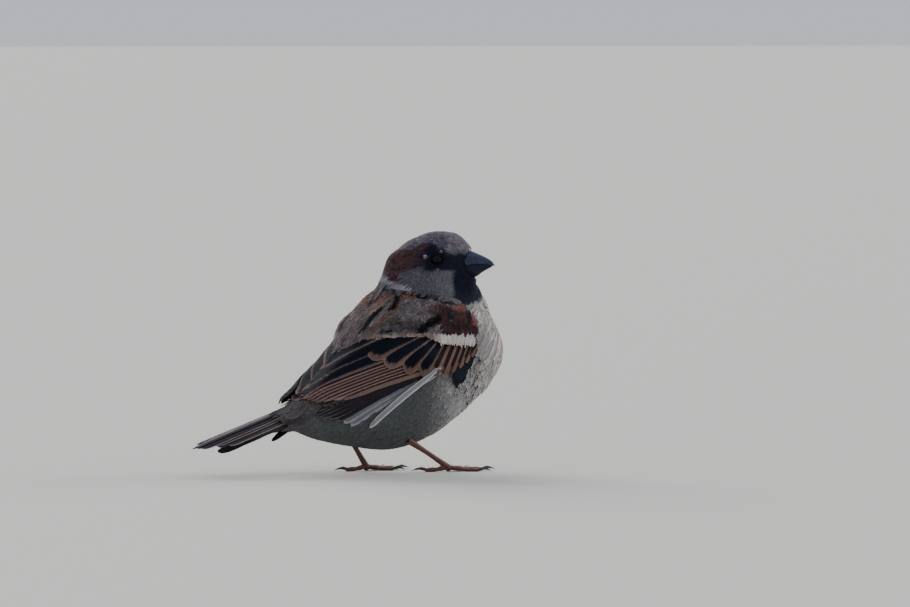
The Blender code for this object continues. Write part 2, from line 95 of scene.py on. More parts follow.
def srgb(code: str) -> Array:
    """Turns an sRGB hex colour into linear light.

    Args:
        code: Six hex digits.

    Returns:
        The linear red, green and blue.
    """
    values = np.array([int(code[i : i + 2], 16) / 255 for i in (0, 2, 4)])
    return np.where(values <= 0.04045, values / 12.92, ((values + 0.055) / 1.055) ** 2.4)


def smooth(low: float, high: float, value: Array) -> Array:
    """A smooth step from 0 at low to 1 at high."""
    t = np.clip((value - low) / (high - low), 0.0, 1.0)
    return t * t * (3 - 2 * t)


def on_line(line: tuple, at: Array) -> Array:
    """The height of a line of corners at each distance along it."""
    return np.interp(at, *zip(*line))


def unit(vectors: Array) -> Array:
    """Each row scaled to length one."""
    return vectors / np.maximum(np.linalg.norm(vectors, axis=-1, keepdims=True), 1e-9)


def spline(values: Array, t: Array) -> Array:
    """Reads a smooth curve through equally spaced rows.

    Args:
        values: The rows the curve passes through.
        t: Places along it, 0 to 1.

    Returns:
        One row for each place.
    """
    values = np.asarray(values, dtype=float)
    spans = len(values) - 1
    place = np.clip(np.asarray(t, dtype=float), 0, 1) * spans
    i = np.minimum(place.astype(int), spans - 1)
    f = place - i
    if values.ndim > 1:
        f = f[..., None]
    padded = np.concatenate([[2 * values[0] - values[1]], values, [2 * values[-1] - values[-2]]])
    a, b, c, d = padded[i], padded[i + 1], padded[i + 2], padded[i + 3]
    return 0.5 * (2 * b + (c - a) * f + (2 * a - 5 * b + 4 * c - d) * f**2 + (3 * b - a - 3 * c + d) * f**3)


def ripple(points: Array, size: float, seed: int) -> Array:
    """Soft irregular variation in space, about -1 to 1.

    Args:
        points: Places in mm.
        size: Distance in mm over which it varies.
        seed: Which pattern.

    Returns:
        One value for each point.
    """
    rng = np.random.default_rng(seed)
    total = np.zeros(len(points))
    for _ in range(6):
        wave = rng.normal(size=3) * (2 * math.pi / size) * 0.55
        total += np.sin(points @ wave + rng.uniform(0, 6.28))
    return total / 2.6


def new_object(name: str, data: bpy.types.ID) -> bpy.types.Object:
    """A new object of the scene."""
    obj = bpy.data.objects.new(name, data)
    bpy.context.scene.collection.objects.link(obj)
    return obj


def dye(code: str) -> tuple[float, ...]:
    """An sRGB hex colour as linear light with full cover."""
    return (*srgb(code), 1)


def add_node(
    tree: bpy.types.NodeTree, kind: str, *sources: Source, links: dict | None = None, out: int | str = 0,
    **settings: str | float,
) -> Socket:
    """Adds a shader node with its settings and links.

    Args:
        tree: The node tree.
        kind: The node's type, without the leading "ShaderNode", and its operation after a point.
        sources: Sockets or values for its first inputs, in order.
        links: Sockets or values for its inputs by name or number.
        out: The output that is wanted.
        settings: Attributes of the node.

    Returns:
        The output.
    """
    kind, _, operation = kind.partition(".")
    node = tree.nodes.new("ShaderNode" + kind)
    if operation:
        node.operation = operation
    for name, value in settings.items():
        setattr(node, name, value)
    for name, value in {**dict(enumerate(sources)), **(links or {})}.items():
        if isinstance(value, Socket):
            tree.links.new(value, node.inputs[name])
        else:
            node.inputs[name].default_value = value
    return node.outputs[out]


# ---- the bird's own frame


@dataclass(frozen=True)
class Figure:
    """Where the bird stands and how its head is turned, in mm in the trunk's frame."""

    head: Triple = (9.2, -2, 79)
    head_turn: float = math.radians(-44)
    eye: Triple = (3.9, 9.1, 1.7)

    @property
    def head_axes(self) -> Array:
        """Rows: the head's forward, left and up."""
        c, s = math.cos(self.head_turn), math.sin(self.head_turn)
        return np.array([[c, s, 0], [-s, c, 0], [0, 0, 1]])

    def from_head(self, local: Array) -> Array:
        """Points given forward, left and up of the head's centre, in the trunk's frame."""
        return np.asarray(local, dtype=float) @ self.head_axes + np.array(self.head)

    def to_head(self, points: Array) -> Array:
        """Points of the trunk's frame, as forward, left and up of the head's centre."""
        return (np.asarray(points, dtype=float) - np.array(self.head)) @ self.head_axes.T

    @property
    def shift(self) -> Array:
        """What to add to the trunk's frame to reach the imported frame, from the right eye's place."""
        low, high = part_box("eye_right")
        packed = (np.array(low) + np.array(high)) / 2 / MM
        s, side, z = self.eye
        return packed - self.from_head([[s, -side, z]])[0]


FIGURE = Figure()
SHIFT = FIGURE.shift


class MeshWriter:
    """Gathers points and faces in mm, with values on them, and writes them as one piece."""

    def __init__(self) -> None:
        """Starts empty."""
        self.points: list[Array] = []
        self.faces: dict[int, list[Array]] = {3: [], 4: []}
        self.on_points: dict[str, list[Array]] = {}
        self.count = 0

    def add(self, points: Array, faces: dict[int, Array], **values: Array) -> None:
        """Adds a patch of mesh.

        Args:
            points: Places in mm.
            faces: Corner count to an array of faces.
            values: Name to one row for each point. Names ending in _uv hold map coordinates, and
                soft_normals holds the normals it is shaded with.
        """
        for corners, rows in faces.items():
            self.faces[corners].append(np.asarray(rows) + self.count)
        self.points.append(points)
        for name, rows in values.items():
            self.on_points.setdefault(name, []).append(rows)
        self.count += len(points)

    def write(self, name: str, material: bpy.types.Material, slot: str, *replaced: str) -> None:
        """Makes the piece, which rides on the bird.

        Args:
            name: The piece's name.
            material: Its material.
            slot: The name of a slot; not used.
            replaced: The nodes that it stands in for.
        """
        points = (np.concatenate(self.points) + SHIFT) * MM
        soft = self.on_points.pop("soft_normals", None)
        loops, starts, totals, begin = [], [], [], 0
        for corners, groups in self.faces.items():
            if groups:
                rows = np.concatenate(groups)
                loops.append(rows.ravel())
                starts.append(begin + np.arange(len(rows)) * corners)
                totals.append(np.full(len(rows), corners))
                begin += rows.size
        corner = np.concatenate(loops).astype(np.int32)
        mesh = bpy.data.meshes.new(name)
        mesh.vertices.add(len(points))
        mesh.vertices.foreach_set("co", points.astype(np.float32).ravel())
        mesh.loops.add(len(corner))
        mesh.loops.foreach_set("vertex_index", corner)
        mesh.polygons.add(sum(len(s) for s in starts))
        mesh.polygons.foreach_set("loop_start", np.concatenate(starts).astype(np.int32))
        mesh.polygons.foreach_set("loop_total", np.concatenate(totals).astype(np.int32))
        mesh.update(calc_edges=True)
        mesh.polygons.foreach_set("use_smooth", np.full(len(mesh.polygons), True))
        for label, rows in self.on_points.items():
            self.store(mesh, label, np.concatenate(rows), corner)
        if soft is not None:
            mesh.normals_split_custom_set_from_vertices(np.concatenate(soft).tolist())
        mesh.materials.append(material)
        piece = new_object(name, mesh)
        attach(piece, "root")
        if replaced:
            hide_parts(*replaced)
        LOG.info("%s: %d faces", name, len(mesh.polygons))

    @staticmethod
    def store(mesh: bpy.types.Mesh, label: str, rows: Array, corner: Array) -> None:
        """Keeps one set of values on the mesh, as a map or as an attribute."""
        if label.endswith("_uv"):
            layer = mesh.uv_layers.new(name=label[:-3])
            layer.data.foreach_set("uv", rows[corner].astype(np.float32).ravel())
            return
        layer = mesh.attributes.new(label, "FLOAT_VECTOR", "POINT")
        layer.data.foreach_set("vector", rows.astype(np.float32).ravel())


def tree_of(objects: list[bpy.types.Object]) -> BVHTree:
    """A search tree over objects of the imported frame, in mm in the trunk's frame."""
    points, faces = [], []
    for obj in objects:
        base = len(points)
        points += [Vector((v.co / MM) - Vector(SHIFT)) for v in obj.data.vertices]
        faces += [[base + i for i in face.vertices] for face in obj.data.polygons]
    return BVHTree.FromPolygons(points, faces)


# ---- finishes

MIXED = {"out": 2, "data_type": "RGBA"}
SMOOTHED = {"interpolation_type": "SMOOTHSTEP"}
KERATIN_IOR = 1.54
CORNEA_IOR = 1.376


def fresh_material(name: str) -> tuple[bpy.types.Material, bpy.types.Node, Callable]:
    """A new node material, its principled shader, and what adds nodes to it."""
    material = bpy.data.materials.new(name)
    material.use_nodes = True
    tree = material.node_tree
    return material, tree.nodes["Principled BSDF"], functools.partial(add_node, tree)


def grain(add: Callable, size_mm: float, detail: float = 3, where: Socket | None = None) -> Socket:
    """Noise whose lumps are about size_mm across, from 0 to 1."""
    where = add("TexCoord", out="Object") if where is None else where
    links = {"Vector": where, "Scale": 1 / (size_mm * MM), "Detail": detail, "Roughness": 0.6}
    return add("TexNoise", links=links, out="Fac")


def shaded(add: Callable, colour: Socket, shade: Socket) -> Socket:
    """A colour made lighter or darker by a shade."""
    tint = add("CombineXYZ", shade, shade, shade)
    return add("Mix", links={0: 1, 6: colour, 7: tint}, blend_type="MULTIPLY", **MIXED)


def dress_surface(
    surface: bpy.types.Node, colour: Socket, rough: Socket, height: Socket, relief: Pair, gloss: float,
    ior: float | None = None,
) -> None:
    """Gives a shader its colour, its sheen and its relief.

    Args:
        surface: The principled shader.
        colour: Its colour.
        rough: Its roughness.
        height: Its relief, from 0 to 1.
        relief: How strongly the relief shows, and how deep it is in mm.
        gloss: Its specular level.
        ior: Its index of refraction, where it isn't the shader's own.
    """
    tree = surface.id_data
    links = {"Strength": relief[0], "Distance": relief[1] * MM, "Height": height}
    bump = add_node(tree, "Bump", links=links)
    for name, source in (("Base Color", colour), ("Roughness", rough), ("Normal", bump)):
        tree.links.new(source, surface.inputs[name])
    surface.inputs["Specular IOR Level"].default_value = gloss
    if ior is not None:
        surface.inputs["IOR"].default_value = ior


@dataclass(frozen=True)
class FeatherKeratin:
    """Feather vane: keratin grown as barbs either side of a shaft, zipped into a web.

    The eye sees a soft web with fine slanting lines, a rim of another colour, a faint silky gloss
    along the barbs and no mirror shine.
    """

    name: str = "feather_keratin_vane"
    barb_mm: float = 0.8  # real barbs stand about 0.25 mm apart, drawn coarser so that they show
    strand_mm: float = 0.4  # clumps of barbs that lie along the shaft
    strand_length_mm: float = 7.0
    rim_soft: float = 0.16
    rim_wander: float = 0.34
    shaft_mm: Pair = (0.75, 0.15)
    shaft: str = "1c1816"
    worn: str = "b5a798"
    roughness: float = 0.8
    gloss: float = 0.04

    def make(self) -> bpy.types.Material:
        """Builds the material.

        Returns:
            The material, which reads core, rim and lay from the mesh, and the map Vane in mm.
        """
        material, surface, add = fresh_material(self.name)
        names = ("core", "rim", "lay")
        core, rim, lay = (add("Attribute", out="Vector", attribute_name=name) for name in names)
        edge, rim_width, streak = add("SeparateXYZ", lay).node.outputs
        vane = add("UVMap", uv_map="Vane")
        across, along, _ = add("SeparateXYZ", vane).node.outputs
        outward = add("Math.ABSOLUTE", across)
        in_metres = add("VectorMath.SCALE", vane, links={"Scale": MM})
        ragged = grain(add, 0.9, 2, in_metres)
        started = add("Math.SUBTRACT", 1, rim_width)
        low = add("Math.SUBTRACT", edge, self.rim_wander / 2)
        wavering = add("Math.MULTIPLY_ADD", ragged, self.rim_wander, low)
        soft = (-self.rim_soft, self.rim_soft)
        begin, end = (add("Math.ADD", started, offset) for offset in soft)
        rimmed = add("MapRange", wavering, begin, end, **SMOOTHED)
        colour = add("Mix", links={0: rimmed, 6: core, 7: rim}, **MIXED)
        worn = add("MapRange", edge, 1, 1.15, **SMOOTHED)
        bleached = add("Mix", links={0: 0.35, 6: rim, 7: dye(self.worn)}, **MIXED)
        colour = add("Mix", links={0: worn, 6: colour, 7: bleached}, **MIXED)
        by_shaft = add("MapRange", outward, *self.shaft_mm, **SMOOTHED)
        dark = add("Math.MULTIPLY", by_shaft, streak)
        colour = add("Mix", links={0: dark, 6: colour, 7: dye(self.shaft)}, **MIXED)
        slant = add("Math.MULTIPLY_ADD", outward, 1.1, along)
        turns = add("Math.MULTIPLY", slant, 2 * math.pi / self.barb_mm)
        wave = add("Math.SINE", turns)
        mottle = grain(add, 2.4, 3)
        lane = add("Math.DIVIDE", across, self.strand_mm)
        drawn = add("Math.DIVIDE", along, self.strand_length_mm)
        links = {"Vector": add("CombineXYZ", lane, drawn), "Scale": 1, "Detail": 2.0}
        strands = add("TexNoise", links=links, out="Fac")
        shade = 0.48
        for source, strength in ((wave, 0.06), (strands, 0.8), (mottle, 0.24)):
            shade = add("Math.MULTIPLY_ADD", source, strength, shade)
        rough = add("Math.MULTIPLY_ADD", mottle, 0.25, self.roughness - 0.12)
        lines = add("Math.MULTIPLY", wave, 0.35)
        height = add("Math.MULTIPLY_ADD", ragged, 0.5, lines)
        colour = shaded(add, colour, shade)
        dress_surface(surface, colour, rough, height, (0.55, 0.06), self.gloss, KERATIN_IOR)
        return material


@functools.cache
def feather_finish() -> bpy.types.Material:
    """The one material that all feathers share."""
    return FeatherKeratin().make()


@dataclass(frozen=True)
class DownySkin:
    """Skin under the plumage, closed over with short down of the feathers' own colours.

    The eye sees it only in the chinks between feathers, as a soft matt ground a little darker than
    they are.
    """

    name: str = "downy_skin"
    darker: float = 0.62

    def make(self) -> bpy.types.Material:
        """Builds the material, which reads core from the mesh."""
        material, surface, add = fresh_material(self.name)
        core = add("Attribute", out="Vector", attribute_name="core")
        down = grain(add, 0.7, 4)
        shade = add("Math.MULTIPLY_ADD", down, 0.5, self.darker - 0.25)
        rough = add("Math.MULTIPLY_ADD", down, 0.15, 0.78)
        dress_surface(surface, shaded(add, core, shade), rough, down, (0.7, 0.2), 0.15)
        return material


@dataclass(frozen=True)
class HornSheath:
    """Horn: keratin laid down in layers over bone, worn smooth by use.

    The eye sees a dark, slightly blue satin surface with fine lines of growth and paler scuffs.
    """

    name: str
    colour: str
    pale: str
    line_mm: float = 0.5
    roughness: float = 0.36
    gloss: float = 0.5

    def make(self) -> bpy.types.Material:
        """Builds the material."""
        material, surface, add = fresh_material(self.name)
        links = {"Scale": 0.05 / (self.line_mm * MM), "Distortion": 4, "Detail": 3.0}
        links["Vector"] = add("TexCoord", out="Object")
        lines = add("TexWave", links=links, out="Fac")
        scuff = grain(add, 1.6, 5)
        worn = add("MapRange", scuff, 0.45, 0.85)
        colour = add("Mix", links={0: worn, 6: dye(self.colour), 7: dye(self.pale)}, **MIXED)
        rough = add("Math.MULTIPLY_ADD", scuff, 0.3, self.roughness - 0.15)
        scuffed = add("Math.MULTIPLY", scuff, 0.7)
        height = add("Math.MULTIPLY_ADD", lines, 0.3, scuffed)
        dress_surface(surface, colour, rough, height, (0.35, 0.08), self.gloss, KERATIN_IOR)
        return material


@dataclass(frozen=True)
class ScaledSkin:
    """Leg skin: dry scutes down the front and fine net-like scales behind and under the toes.

    The eye sees reddish-brown plates parted by dark creases, with a dull waxy gloss.
    """

    name: str = "scaled_leg_skin"
    colour: str = "70453c"
    crease: str = "2f1a17"
    scale_mm: float = 0.55
    half_scute: float = 0.6

    def make(self) -> bpy.types.Material:
        """Builds the material, which draws a scute for each 1.2 along the map Scute."""
        material, surface, add = fresh_material(self.name)
        run = add("UVMap", uv_map="Scute")
        around, along, _ = add("SeparateXYZ", run).node.outputs
        wave = add("Math.PINGPONG", along, self.half_scute)
        plate = add("MapRange", wave, 0, 0.14, **SMOOTHED)
        cells = {"Vector": add("TexCoord", out="Object"), "Scale": 1 / (self.scale_mm * MM)}
        net = add("TexVoronoi", links=cells, feature="DISTANCE_TO_EDGE")
        pebble = add("MapRange", net, 0, 0.12, **SMOOTHED)
        front = add("MapRange", around, 0.35, 0.5)
        behind = add("Math.SUBTRACT", 1, front)
        netted = add("Math.MULTIPLY", pebble, behind)
        height = add("Math.MULTIPLY_ADD", plate, front, netted)
        mottle = grain(add, 1.5, 4)
        shade = add("Math.MULTIPLY_ADD", mottle, 0.6, 0.7)
        colour = add("Mix", links={0: height, 6: dye(self.crease), 7: dye(self.colour)}, **MIXED)
        rough = add("Math.MULTIPLY_ADD", mottle, 0.3, 0.36)
        dress_surface(surface, shaded(add, colour, shade), rough, height, (0.8, 0.1), 0.4)
        return material


@dataclass(frozen=True)
class WetEye:
    """Living eye: a dark brown iris round a black pupil, under a clear wet cornea.

    The eye sees almost black, with a brown ring only where light crosses it, and a sharp highlight.
    """

    name: str = "wet_eye"
    pupil: str = "060505"
    iris: str = "0b0a10"
    fibre: str = "120e12"
    pupil_share: float = 0.62

    def make(self) -> bpy.types.Material:
        """Builds the material, which reads the map Gaze: distance from the pupil's middle."""
        material, surface, add = fresh_material(self.name)
        gaze = add("UVMap", uv_map="Gaze")
        out = add("SeparateXYZ", gaze)
        ringed = add("MapRange", out, self.pupil_share - 0.04, self.pupil_share + 0.03, **SMOOTHED)
        fibres = grain(add, 0.35, 3)
        brown = add("Mix", links={0: fibres, 6: dye(self.iris), 7: dye(self.fibre)}, **MIXED)
        colour = add("Mix", links={0: ringed, 6: dye(self.pupil), 7: brown}, **MIXED)
        rough = add("Math.MULTIPLY_ADD", fibres, 0.04, 0.05)
        dress_surface(surface, colour, rough, fibres, (0.05, 0.02), 0.3, CORNEA_IOR)
        return material


@dataclass(frozen=True)
class StudioPaper:
    """Studio floor: matt pale paper, faintly toothed."""

    name: str = "studio_paper"
    colour: str = "b9b9b4"
    pale: str = "c2c2be"

    def make(self) -> bpy.types.Material:
        """Builds the material."""
        material, surface, add = fresh_material(self.name)
        tooth = grain(add, 1.5, 4)
        colour = add("Mix", links={0: tooth, 6: dye(self.colour), 7: dye(self.pale)}, **MIXED)
        rough = add("Math.MULTIPLY_ADD", tooth, 0.1, 0.85)
        dress_surface(surface, colour, rough, tooth, (0.1, 0.1), 0.1)
        return material


# ---- surfaces


class Surface:
    """A closed surface that can be asked for its nearest point and its smooth normal."""

    def __init__(self, points: Array, faces: Array, normals: Array) -> None:
        """Keeps the surface.

        Args:
            points: Its points in mm.
            faces: Its quads.
            normals: The outward normal at each point.
        """
        self.points, self.faces, self.normals = points, faces, normals
        self.tree = BVHTree.FromPolygons(points.tolist(), faces.tolist())

    def near(self, places: Array) -> tuple[Array, Array]:
        """The nearest point of the surface to each place, and the smooth normal there."""
        hits = np.empty((len(places), 3))
        index = np.empty(len(places), dtype=int)
        for i, place in enumerate(places.tolist()):
            hit, _, face, _ = self.tree.find_nearest(place)
            hits[i], index[i] = hit, face
        corners = self.faces[index]
        gap = np.linalg.norm(self.points[corners] - hits[:, None], axis=2)
        weight = 1 / (gap + 0.05)
        return hits, unit((self.normals[corners] * weight[..., None]).sum(axis=1))

    def scatter(self, spacing: Callable, seed: int) -> tuple[Array, Array]:
        """Evenly spread places on the surface, none closer to another than the spacing there.

        Args:
            spacing: A function from places to the least distance in mm.
            seed: Which pattern.

        Returns:
            The places and their normals.
        """
        rng = np.random.default_rng(seed)
        a, b, c, d = (self.points[self.faces[:, i]] for i in range(4))
        area = np.linalg.norm(np.cross(c - a, d - b), axis=1) / 2
        want = area / spacing((a + c) / 2) ** 2
        picks = rng.choice(len(area), size=int(want.sum() * 5), p=want / want.sum())
        u, v = rng.random((2, len(picks), 1))
        places = (1 - u) * ((1 - v) * a[picks] + v * d[picks]) + u * ((1 - v) * b[picks] + v * c[picks])
        reach = spacing(places)
        cell = float(reach.max())
        cells: dict[tuple[int, int, int], list[int]] = {}
        keys = np.floor(places / cell).astype(int)
        around = [(i, j, k) for i in (-1, 0, 1) for j in (-1, 0, 1) for k in (-1, 0, 1)]
        kept: list[int] = []
        flat, gaps = places.tolist(), (reach**2).tolist()
        for index, ((a, b, c), (x, y, z), gap) in enumerate(zip(keys.tolist(), flat, gaps)):
            close = (flat[other] for i, j, k in around for other in cells.get((a + i, b + j, c + k), ()))
            if all((x - ox) ** 2 + (y - oy) ** 2 + (z - oz) ** 2 >= gap for ox, oy, oz in close):
                cells.setdefault((a, b, c), []).append(index)
                kept.append(index)
        return self.near(places[kept])


def remeshed(parts: list[tuple[Array, list]], voxel: float, smoothing: int) -> Surface:
    """One smooth closed surface round crossing closed shapes.

    Args:
        parts: The points in mm and the faces of each shape.
        voxel: The size of its quads in mm.
        smoothing: How many times it is smoothed.

    Returns:
        The surface.
    """
    points, faces = [], []
    for own_points, own_faces in parts:
        base = len(points)
        points += [tuple(p) for p in own_points]
        faces += [[base + i for i in face] for face in own_faces]
    mesh = bpy.data.meshes.new("working_shape")
    mesh.from_pydata(points, [], faces)
    obj = new_object("working_shape", mesh)
    remesh = obj.modifiers.new("blend", "REMESH")
    remesh.mode = "VOXEL"
    remesh.voxel_size = voxel
    smoother = obj.modifiers.new("smooth", "SMOOTH")
    smoother.factor = 0.5
    smoother.iterations = smoothing
    graph = bpy.context.evaluated_depsgraph_get()
    done = bpy.data.meshes.new_from_object(obj.evaluated_get(graph), depsgraph=graph)
    bpy.data.objects.remove(obj)
    count = len(done.vertices)
    place, normal = np.empty(count * 3), np.empty(count * 3)
    done.vertices.foreach_get("co", place)
    done.vertex_normals.foreach_get("vector", normal)
    corner = np.empty(len(done.loops), dtype=np.int32)
    done.loops.foreach_get("vertex_index", corner)
    bpy.data.meshes.remove(done)
    return Surface(place.reshape(-1, 3), corner.reshape(-1, 4), normal.reshape(-1, 3))


def ring_faces(rings: int, sides: int) -> list[tuple[int, ...]]:
    """Faces of a closed tube of rings, with a cap at each end."""
    faces = [
        (r * sides + s, r * sides + (s + 1) % sides, (r + 1) * sides + (s + 1) % sides, (r + 1) * sides + s)
        for r in range(rings - 1)
        for s in range(sides)
    ]
    faces.append(tuple(range(sides - 1, -1, -1)))
    faces.append(tuple((rings - 1) * sides + s for s in range(sides)))
    return faces


def all_quads(faces: list[tuple[int, ...]]) -> Array:
    """The faces of a closed tube, its two caps cut into quads that are paired off across them."""
    caps = [
        (ring[i], ring[i + 1], ring[-i - 2], ring[-i - 1])
        for ring in faces[-2:]
        for i in range(len(ring) // 2 - 1)
    ]
    return np.array(faces[:-2] + caps)


def egg(centre: tuple, halves: tuple, axes: Array, rings: int = 14, sides: int = 20) -> tuple:
    """A closed egg shape, as points and faces.

    Args:
        centre: Its middle in mm.
        halves: Its half length along each axis.
        axes: Its axes as rows.
        rings: Rows of points, pole to pole.
        sides: Points in a row.
    """
    lean = np.linspace(0.04, math.pi - 0.04, rings)
    turn = np.linspace(0, 2 * math.pi, sides, endpoint=False)
    ball = np.stack(
        [
            np.outer(np.cos(lean), np.ones(sides)),
            np.outer(np.sin(lean), np.cos(turn)),
            np.outer(np.sin(lean), np.sin(turn)),
        ],
        axis=-1,
    ).reshape(-1, 3)
    return ball * np.array(halves) @ axes + np.array(centre), ring_faces(rings, sides)


def tube(centres: Array, radii: Array, rings: int = 24, sides: int = 16) -> tuple:
    """A closed round tube along a smooth line of centres, as points and faces."""
    t = np.linspace(0, 1, rings)
    line, size = spline(centres, t), spline(radii, t)
    along = unit(np.gradient(line, axis=0))
    wide = unit(np.cross(along, [0, 0, 1]))
    tall = np.cross(wide, along)
    turn = np.linspace(0, 2 * math.pi, sides, endpoint=False)
    spokes = wide[:, None] * np.cos(turn)[:, None] + tall[:, None] * np.sin(turn)[:, None]
    return (line[:, None] + spokes * size[:, None, None]).reshape(-1, 3), ring_faces(rings, sides)


# ---- plumage


def back_line(x: Array) -> Array:
    """The height at which the back's plumage meets the side's, from the tail to the neck."""
    return 21 + (x + 57) * 0.61


@dataclass(frozen=True)
class Markings:
    """The colours of a cock sparrow's plumage, with some painted shade, and where each lies.

    Each feather has a core colour and a rim colour, the share of its half width that the rim
    takes, and how dark its shaft is.
    """

    crown: str = "6f6b7d"
    brow: str = "a0949b"
    # chestnut and chestnut_rim: the nape's own chestnut, made duller and bluer as partly painted shade
    chestnut: str = "543e44"
    chestnut_rim: str = "775555"
    # cheek and cheek_rim: the cheek's own pale grey painted much darker, as painted shade
    cheek: str = "55545e"
    cheek_rim: str = "737177"
    black: str = "1f2332"
    bib_fringe: str = "30344a"
    breast: str = "c4bdbb"
    breast_rim: str = "dcd6d3"
    # flank and flank_rim: the flank's own grey, darkened as painted shade under the wing
    flank: str = "57595b"
    flank_rim: str = "626466"
    belly: str = "989798"
    belly_rim: str = "a5a4a7"
    rump: str = "5b5456"
    rump_rim: str = "6e6568"
    mantle: str = "3f3a3d"
    mantle_rim: str = "5f5350"
    # side: painted shade, a darker grey on the breast's sides just ahead of the wing's front edge
    side: str = "6f6c70"
    neck: str = "6a6771"
    collar: str = "97919a"
    white: str = "9d9a9b"
    flecks: tuple = ((-0.4, 2.7, 0.6), (5.4, 4.7, 0.25), (4.4, -2.4, 0.1))
    head_edge: tuple = ((-16, -7.5), (-12.6, -10.2), (-7, -12.6), (1, -14.6), (10, -16.6))
    nape_edge: tuple = (
        (-17, -3), (-14, -4.5), (-12.5, -8.5), (-10.8, -9.5), (-10, -7), (-9, -4.5), (-7.5, -3),
        (-5, -1.8), (0, -1.2),
    )

    def at(self, places: Array) -> tuple[Array, Array, Array]:
        """The plumage at each place.

        Args:
            places: Places in mm in the trunk's frame.

        Returns:
            Core colours, rim colours, and rows of rim share and shaft darkness.
        """
        x, y, z = places.T
        core = np.tile(srgb(self.breast), (len(places), 1))
        rim = np.tile(srgb(self.breast_rim), (len(places), 1))
        kind = np.tile([0.2, 0.5], (len(places), 1))

        def paint(weight: Array, inner: str, outer: str, share: float, shaft: float) -> None:
            """Lays one marking over what is there."""
            w = weight[:, None]
            core[:] = core * (1 - w) + srgb(inner) * w
            rim[:] = rim * (1 - w) + srgb(outer) * w
            kind[:] = kind * (1 - w) + np.array([share, shaft]) * w

        wobble = ripple(places, 7, 11)
        below = smooth(46, 14, z + 1.6 * wobble)
        paint(below, self.belly, self.belly_rim, 0.25, 0.1)
        # painted shade: darker towards the back and below the wing, over the flank's own grey
        shaded = smooth(17, -5, x + 0.5 * wobble) * smooth(60, 46, z)
        paint(shaded, self.flank, self.flank_rim, 0.25, 0.1)
        # painted shade on the breast's sides by the wing's front edge
        wing_edge_shade = smooth(12.5, 16.5, np.abs(y) + 0.5 * wobble) * smooth(6, 12, x) * smooth(60, 54, z)
        paint(wing_edge_shade * 0.85, self.side, self.belly, 0.25, 0.1)
        line = back_line(x) - 4.0 * smooth(-36, -44, x)
        dorsal = smooth(-2.5, 2.5, z - line + wobble)
        ahead = smooth(-36, -28, x)
        paint(dorsal * (1 - ahead), self.rump, self.rump_rim, 0.3, 0.2)
        paint(dorsal * ahead, self.mantle, self.mantle_rim, 0.3, 0.2)
        self.paint_head(places, paint)
        return core, rim, kind

    def paint_head(self, places: Array, paint: Callable) -> None:
        """Lays the markings of the head and bib."""
        local = FIGURE.to_head(places)
        wave = ripple(places, 4, 23)
        fine = ripple(places, 1.6, 31)
        s, lateral, z = local.T
        lateral = np.abs(lateral)
        reach = np.linalg.norm(local, axis=1)
        s = s + 0.5 * wave
        z = z + 0.4 * wave + 0.3 * fine
        lower = on_line(self.head_edge, s)
        on_head = smooth(-0.8, 0.8, z - lower) * smooth(24, 21, reach)
        sides = smooth(-4.5, -2.5, z - lower) * smooth(28, 25, reach) * smooth(9, 5, s)
        # the neck's sides take flank_rim, which holds painted shade
        paint(sides, self.neck, self.flank_rim, 0.3, 0.3)
        # the cheek colours laid here are painted shade over the cheek's own pale grey
        paint(on_head, self.cheek, self.cheek_rim, 0.3, 0.15)
        paint(on_head * smooth(1, 8, s) * 0.6, self.cheek_rim, self.collar, 0.3, 0.1)
        nape = on_head * smooth(3.2, 0.6, s) * smooth(-0.7, 0.7, z - on_line(self.nape_edge, s))
        # the chestnut laid here is partly its own colour and partly painted shade
        paint(nape, self.chestnut, self.chestnut_rim, 0.35, 0.5)
        paint(nape * smooth(0.3, 0.9, fine) * 0.6, self.black, self.chestnut, 0.35, 0.1)
        paint(on_head * smooth(2.6, 1.4, z - lower) * smooth(8, 3, s), self.collar, self.collar, 0.3, 0.2)
        top = 4.0 + 3.2 * smooth(8, 3.5, s)
        cap = smooth(8.2, 6.8, lateral + 0.5 * fine) * smooth(1.5, 4.5, z)
        above = smooth(0.2, 1.4, z - top)
        paint(on_head * np.maximum(cap, smooth(4, 6.5, s) * above), self.crown, self.brow, 0.3, 0.5)
        paint(on_head * smooth(4, 7.5, s) * above * 0.8, self.brow, self.crown, 0.35, 0.4)
        mask = smooth(-1.6, 0.4, s) * smooth(0.8, -0.8, z - top) * smooth(-3.6, -2.2, z)
        mask = mask * smooth(3, 4.6, lateral)
        stripe = smooth(-5.5, -3.5, s) * smooth(3.4, 2.2, np.abs(z - 1.2)) * smooth(4, 6, lateral)
        lores = smooth(8.5, 10.5, s) * smooth(4.4, 3, z)
        paint(on_head * np.maximum(np.maximum(mask, stripe * 0.7), lores), self.black, self.black, 0.3, 0)
        wide = 4.6 + 2.4 * smooth(-4, -13, z)
        bib = smooth(8.6, 10, s) * smooth(1, -0.6, lateral - wide) * smooth(-2, -3.6, z)
        far_side = local[:, 1] + 0.8 * smooth(-8, -4, z) + 1.6 * smooth(-6, -8, z)
        bib *= smooth(-15.6, -14.4, z - 0.4 * fine) * smooth(4.6, 3.4, far_side)
        paint(bib, self.black, self.bib_fringe, 0.25, 0.3)
        for spot_s, spot_z, radius in self.flecks:
            gap = np.hypot(local[:, 0] - spot_s, local[:, 2] - spot_z)
            spot = smooth(radius + 0.45, radius - 0.2, gap) * smooth(4, 6, lateral) * on_head
            paint(spot, self.white, self.white, 0.3, 0)


